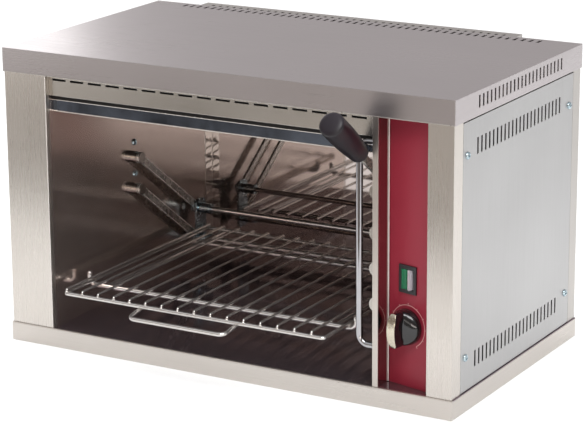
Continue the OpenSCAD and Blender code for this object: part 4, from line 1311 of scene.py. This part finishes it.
@dataclass
class Lift(Assembly):
    """Arms, lever, couplers and rods that raise the rack."""

    grip_len: float = 81.96
    grip_d: float = 29.5
    grip_neck: float = 22.5
    grip_end: float = 6.0
    grip_swell: float = 0.7
    grip_tip: float = 0.9985
    grip_chamfer: tuple[tuple[float, float], ...] = ((0.8, 0.0), (0.2, 0.25))
    grip_start: float = 234.36
    lever_x: float = 185.5
    pivot: tuple[float, float] = (13.0, 157.0)
    slope_deg: float = 36.0
    guard_d: float = 8.0
    guard_bend: float = 12.0
    bar_len: float = 164.6
    bar_w: float = 10.0
    edge_d: float = 1.3
    edge_start: float = 14.0
    edge_stop: float = 24.0
    edge_inset: float = 0.3
    front_d: float = 6.4
    front_bend: float = 8.0

    def dress(self) -> None:
        """Give the lift its bar, zinc and chrome."""
        self.shop.dress(ARM_STEEL, "arm_upper_left", "arm_lower_left", "arm_upper_right", "lever")
        self.shop.dress(LATCH_STEEL, "latch_strip", "pivot_studs")
        self.shop.dress(ZINC, "coupler_left", "coupler_right", "rod_collars", "rod_nuts")
        self.shop.dress(CHROME, "guard_rod", "cross_rod_upper", "cross_rod_lower", "carrier_rods",
                        "carrier_pegs", "carrier_front_rod", "carrier_rear_rod")
        self.shop.dress(GRIP_BLACK, "grip")

    def build(self) -> None:
        """Make the grip, the rolled edges of the bars with their painted highlight, and the two bent rods."""
        self.grip()
        for body in (Body.ARM_UPPER_LEFT, Body.ARM_LOWER_LEFT, Body.ARM_UPPER_RIGHT, Body.LEVER):
            self.edges(body)
        across = np.array([0, 1.0, 0])
        low, high = box_mm("guard_rod")
        r = self.guard_d / 2
        y = (low[1] + high[1]) / 2
        corners = np.array([[high[0], y, high[2] - r], [low[0] + r, y, high[2] - r],
                            [low[0] + r, y, low[2] + r], [high[0], y, low[2] + r]])
        rod = wire_tube(bent_path(corners, self.guard_bend, 14), across, self.guard_d, 28)
        self.shop.piece("guard_rod_bent", rod, GUARD_CHROME, Body.CASING, "chrome", stands_for=["guard_rod"])
        low, high = box_mm("carrier_front_rod")
        r = self.front_d / 2
        y = (low[1] + high[1]) / 2
        corners = np.array([[low[0] + r, y, high[2]], [low[0] + r, y, low[2] + r],
                            [high[0] - r, y, low[2] + r], [high[0] - r, y, high[2]]])
        rod = wire_tube(bent_path(corners, self.front_bend, 12), across, self.front_d, 24, rounded=2.0)
        self.shop.piece("front_rod_bent", rod, CHROME, Body.CARRIER, "chrome",
                        stands_for=["carrier_front_rod"])

    def edges(self, body: Body) -> None:
        """Roll over both edges of a bar behind its pivot, on the face that looks into the cavity.

        Each edge is a straight wire along the bar, which lies half the bar's width from its middle line.

        Args:
            body: the bar's body, which has the name of its CAD node.
        """
        slope = np.radians(self.slope_deg)
        along = np.array([0.0, np.cos(slope), -np.sin(slope)])
        over = np.array([0.0, np.sin(slope), np.cos(slope)])
        low, high = box_mm(body.value)
        upper_low, upper_high = box_mm("arm_upper_left")
        upper_z = upper_high[2] - (self.pivot[0] - upper_low[1])
        z = upper_z if body in (Body.ARM_UPPER_LEFT, Body.ARM_UPPER_RIGHT) else self.pivot[1]
        on_left = body in (Body.ARM_UPPER_LEFT, Body.ARM_LOWER_LEFT)
        x = high[0] - self.edge_inset if on_left else low[0] + self.edge_inset
        pivot = np.array([x, self.pivot[0], z])
        reach = np.array([self.edge_start, self.bar_len - self.edge_stop])[:, None]
        parts = []
        for side in (-1, 1):
            ends = pivot + reach * along + side * (self.bar_w - self.edge_d) / 2 * over
            parts.append(wire_tube(ends, np.array([1.0, 0, 0]), self.edge_d, 12))
        # the beads' near-white, hardly metallic colour is a painted highlight on the bar's edges
        self.shop.piece(body.value + "_edges", join_parts(parts), EDGE_BEAD_HIGHLIGHT, body, "arm_steel")

    def grip_radius(self, along: Array) -> Array:
        """Work out the grip's radius, neck + (full - neck) sin(90 y / s l), with s the share that swells.

        Args:
            along: lengths y from the grip's neck.

        Returns:
            The radius at each length.
        """
        share = np.minimum(1, along / (self.grip_swell * self.grip_len))
        return (self.grip_neck + (self.grip_d - self.grip_neck) * np.sin(np.pi / 2 * share)) / 2

    def grip(self) -> None:
        """Turn the grip: it swells from its neck, and its end closes by a cubed oval, (1 - t^3)^(1/3)."""
        straight = self.grip_len - self.grip_end
        y = np.linspace(0, straight, 40)
        t = np.linspace(0, 1, 16)[1:]
        radius = self.grip_radius(y)
        chamfer = np.array([[radius[0] - less, at] for less, at in self.grip_chamfer])
        end = radius[-1] * np.cbrt(1 - np.minimum(t, self.grip_tip) ** 3)
        profile = np.concatenate([
            chamfer, np.stack([radius, np.maximum(y, self.grip_chamfer[0][0])], axis=1),
            np.stack([end, straight + self.grip_end * t], axis=1)])
        slope = np.radians(self.slope_deg)
        along = np.array([0.0, -np.cos(slope), np.sin(slope)])
        start = np.array([self.lever_x, self.pivot[0], self.pivot[1]]) + self.grip_start * along
        skin = turned(profile, start, along, 64)
        self.shop.piece("grip_turned", skin, GRIP_BLACK, Body.LEVER, "grip_black", stands_for=["grip"])


@dataclass
class Rack(Assembly):
    """Wire rack: a bent rim, wires across it and a handle loop, with the beads of their welds."""

    rim_d: float = 5.0
    rim_bend: float = 5.0
    wire_d: float = 3.2
    wire_bend: float = 2.6
    wire_count: int = 16
    handle_bend: float = 9.0
    handle_deg: float = 8.0
    bead_r: float = 2.2
    bead_h: float = 2.6
    bead_lift: float = 0.2
    bead_open: float = 0.05

    def dress(self) -> None:
        """Give the rack its chromium plate."""
        self.shop.dress(CHROME, "rack_rim", "rack_wires", "rack_handle")

    def build(self) -> None:
        """Bend the rim, the wires and the handle, and set a bead on each weld.

        A bead is half an oval, r sin t out and -h/2 cos t up, turned about Z.
        """
        up, side = np.array([0, 0, 1.0]), np.array([1.0, 0, 0])
        r = self.rim_d / 2
        low, high = box_mm("rack_rim")
        z = (low[2] + high[2]) / 2
        x0, y0, x1, y1 = low[0] + r, low[1] + r, high[0] - r, high[1] - r
        corners = np.array([[x0, y0, z], [x1, y0, z], [x1, y1, z], [x0, y1, z]])
        rim = wire_tube(bent_path(corners, self.rim_bend, 12, closed=True), up, self.rim_d, 24, closed=True)
        self.shop.piece("rim_bent", rim, CHROME, Body.RACK, "chrome", stands_for=["rack_rim"])

        low, high = box_mm("rack_wires")
        half = self.wire_d / 2
        places = np.linspace(low[0] + half, high[0] - half, self.wire_count)
        top = high[2] - half
        corners = np.array([[0, y0, low[2]], [0, y0, top], [0, y1, top], [0, y1, low[2]]])
        points, faces = wire_tube(bent_path(corners, self.wire_bend, 8), side, self.wire_d, 16)
        shift = places[:, None, None] * side
        wires = join_parts([(points + move, faces) for move in shift])
        self.shop.piece("wires_bent", wires, CHROME, Body.RACK, "chrome", stands_for=["rack_wires"])

        t = np.linspace(self.bead_open, np.pi - self.bead_open, 9)
        drop = np.stack([self.bead_r * np.sin(t), -self.bead_h * np.cos(t) / 2], axis=1)
        seats = [np.array([x, y, z + r + self.bead_lift]) for x in places for y in (y0, y1)]
        beads = join_parts([turned(drop, seat, up, 12) for seat in seats])
        self.shop.piece("weld_beads", beads, CHROME, Body.RACK, "chrome")
        self.handle(y0)

    def handle(self, rim_y: float) -> None:
        """Bend the handle loop, which slopes down in front of the rim.

        Its legs run along (0, -cos s, -sin s), from tails behind the rim to the CAD node's front.

        Args:
            rim_y: depth of the front rim's centre line.
        """
        low, high = box_mm("rack_handle")
        r = self.rim_d / 2
        slope = np.radians(self.handle_deg)
        along = np.array([0.0, -np.cos(slope), -np.sin(slope)])
        reach = (rim_y - low[1] - r) / np.cos(slope)
        tail = high[1] - rim_y - r * np.sin(slope)
        z = high[2] - r * np.cos(slope) - tail * np.tan(slope)
        left, right = np.array([low[0] + r, rim_y, z]), np.array([high[0] - r, rim_y, z])
        back = along * tail / np.cos(slope)
        corners = np.array([left - back, left + along * reach, right + along * reach, right - back])
        flat = np.array([0.0, np.sin(slope), -np.cos(slope)])
        loop = wire_tube(bent_path(corners, self.handle_bend, 14), flat, self.rim_d, 24, rounded=1.0)
        self.shop.piece("handle_bent", loop, CHROME, Body.RACK, "chrome", stands_for=["rack_handle"])


# Rings of the knob from the panel outwards: half width, half length, power, height and share of the bend
KNOB_BODY = (
    (20.7, 20.7, 2, 1.2, 0), (21.0, 21.0, 2, 1.6, 0), (21.0, 21.0, 2, 4.6, 0), (20.7, 20.8, 2, 6.2, 0),
    (19.9, 20.6, 2, 8.0, 0.02), (18.4, 20.4, 2, 9.8, 0.05), (16.2, 20.3, 2, 11.5, 0.1),
    (13.2, 20.2, 2, 13.0, 0.16), (9.6, 20.2, 2.2, 14.2, 0.25), (6.9, 20.2, 3, 15.3, 0.36),
    (6.0, 20.2, 4, 17.0, 0.5), (5.8, 20.2, 4, 21.0, 0.75), (5.7, 20.2, 4, 25.0, 0.95),
    (5.6, 20.2, 4, 29.3, 1), (4.6, 16.5, 4, 29.7, 1), (2.5, 9.0, 4, 29.7, 1), (0.2, 1.0, 4, 29.7, 1))
KNOB_FACE = (
    (0.2, 1.0, 4, 29.4, 1), (5.2, 20.0, 4, 29.4, 1), (5.7, 20.4, 4, 29.7, 1), (5.7, 20.4, 4, 30.3, 1),
    (5.3, 20.0, 4, 30.7, 1), (4.0, 15.5, 4, 30.7, 1), (2.0, 8.0, 4, 30.7, 1), (0.2, 1.0, 4, 30.7, 1))


@dataclass
class Controls(Assembly):
    """Red panel with the rocker switch, the knob and its scale."""

    axis_at: tuple[float, float, float] = (234.139, -151.016, 95.0)
    turn_deg: float = 14.0
    knob_arch: float = 42.0
    scale_r: float = 24.6
    scale_w: float = 0.8
    scale_h: float = 0.06
    scale_deg: float = 150.0
    mark_count: int = 11
    long_every: int = 5
    long_mark: float = 2.6
    short_mark: float = 1.7

    def axes(self) -> tuple[Array, Array, Array, Array]:
        """Work out the panel's directions from its turn about Z.

        Returns:
            The knob's point on the panel, and the panel's right, up and outward directions.
        """
        turn = np.radians(self.turn_deg)
        right = np.array([np.cos(turn), -np.sin(turn), 0.0])
        out = np.array([-np.sin(turn), -np.cos(turn), 0.0])
        return np.array(self.axis_at), right, np.array([0.0, 0.0, 1.0]), out

    def dress(self) -> None:
        """Give the controls their lacquer and plastics."""
        self.shop.dress(PANEL_RED, "control_panel")
        self.shop.dress(SWITCH_BLACK, "switch_body")
        self.shop.dress(ROCKER_GREEN, "switch_rocker")
        self.shop.dress(CREAM, "regulator")
        self.shop.dress(SHAFT_STEEL, "regulator_shaft")
        self.shop.dress(KNOB_BLACK, "knob")
        self.shop.dress(KNOB_METAL, "knob_face")

    def build(self) -> None:
        """Make the knob with its metal face, and print the scale on the panel."""
        body, face = self.loft(np.array(KNOB_BODY)), self.loft(np.array(KNOB_FACE))
        self.shop.piece("knob_moulded", body, KNOB_BLACK, Body.KNOB, "knob_black", stands_for=["knob"])
        self.shop.piece("knob_strip", face, KNOB_METAL, Body.KNOB, "knob_metal", stands_for=["knob_face"])
        self.scale()

    def loft(self, rings: Array) -> Part:
        """Skin rings of the knob, each a superellipse |x/a|^n + |y/b|^n = 1 that bends down along its length.

        The bend lowers a point by R - sqrt(R^2 - y^2), times the ring's share.

        Args:
            rings: rows of half width, half length, power, height and share of the bend.

        Returns:
            Points and faces of the closed skin.
        """
        at, right, up, out = self.axes()
        angle = np.linspace(0, 2 * np.pi, 72, endpoint=False)[None, :]
        a, b, n, h, w = (rings[:, k][:, None] for k in range(5))
        x = a * np.sign(np.cos(angle)) * np.abs(np.cos(angle)) ** (2 / n)
        y = b * np.sign(np.sin(angle)) * np.abs(np.sin(angle)) ** (2 / n)
        level = h - w * (self.knob_arch - np.sqrt(self.knob_arch ** 2 - y ** 2))
        points = at + x[..., None] * right + y[..., None] * up + level[..., None] * out
        return ring_stack(points[:, ::-1])

    def stroke(self, radius: Array, angle: Array) -> Part:
        """Lay a thin strip of ink on the panel: a rectangle carried along the points r (sin a, cos a).

        Args:
            radius: distances of its points from the knob's axis.
            angle: their angles from upright, clockwise.

        Returns:
            Points and faces of the strip.
        """
        at, right, up, out = self.axes()
        line = radius[:, None] * (np.sin(angle)[:, None] * right + np.cos(angle)[:, None] * up)
        way = np.gradient(line, axis=0)
        way = way / np.linalg.norm(way, axis=1, keepdims=True)
        side = np.cross(out, way) * self.scale_w / 2
        top = out * self.scale_h
        rings = np.stack([line - side, line - side + top, line + side + top, line + side], axis=1)
        return ring_stack(at + rings)

    def scale(self) -> None:
        """Print an arc round the knob and a mark every 30 degrees, all as thin raised ink."""
        limit = np.radians(self.scale_deg)
        sweep = np.linspace(-limit, limit, 91)
        parts = [self.stroke(np.full_like(sweep, self.scale_r), sweep)]
        for k, turn in enumerate(np.linspace(-limit, limit, self.mark_count)):
            reach = self.long_mark if k % self.long_every == 0 else self.short_mark
            parts.append(self.stroke(np.array([self.scale_r, self.scale_r + reach]), np.array([turn, turn])))
        self.shop.piece("panel_scale", join_parts(parts), PRINT, Body.CASING, "panel_red", smooth=False)


def main() -> None:
    """Load the frame, dress it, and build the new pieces."""
    logging.basicConfig(level=logging.INFO, format="%(name)s: %(message)s")
    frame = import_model()
    Studio().build()
    shop = Workshop(frame)
    for kind in (Casing, Cavity, Lift, Rack, Controls):
        assembly = kind(shop)
        assembly.dress()
        assembly.build()


if __name__ == "__main__":
    main()
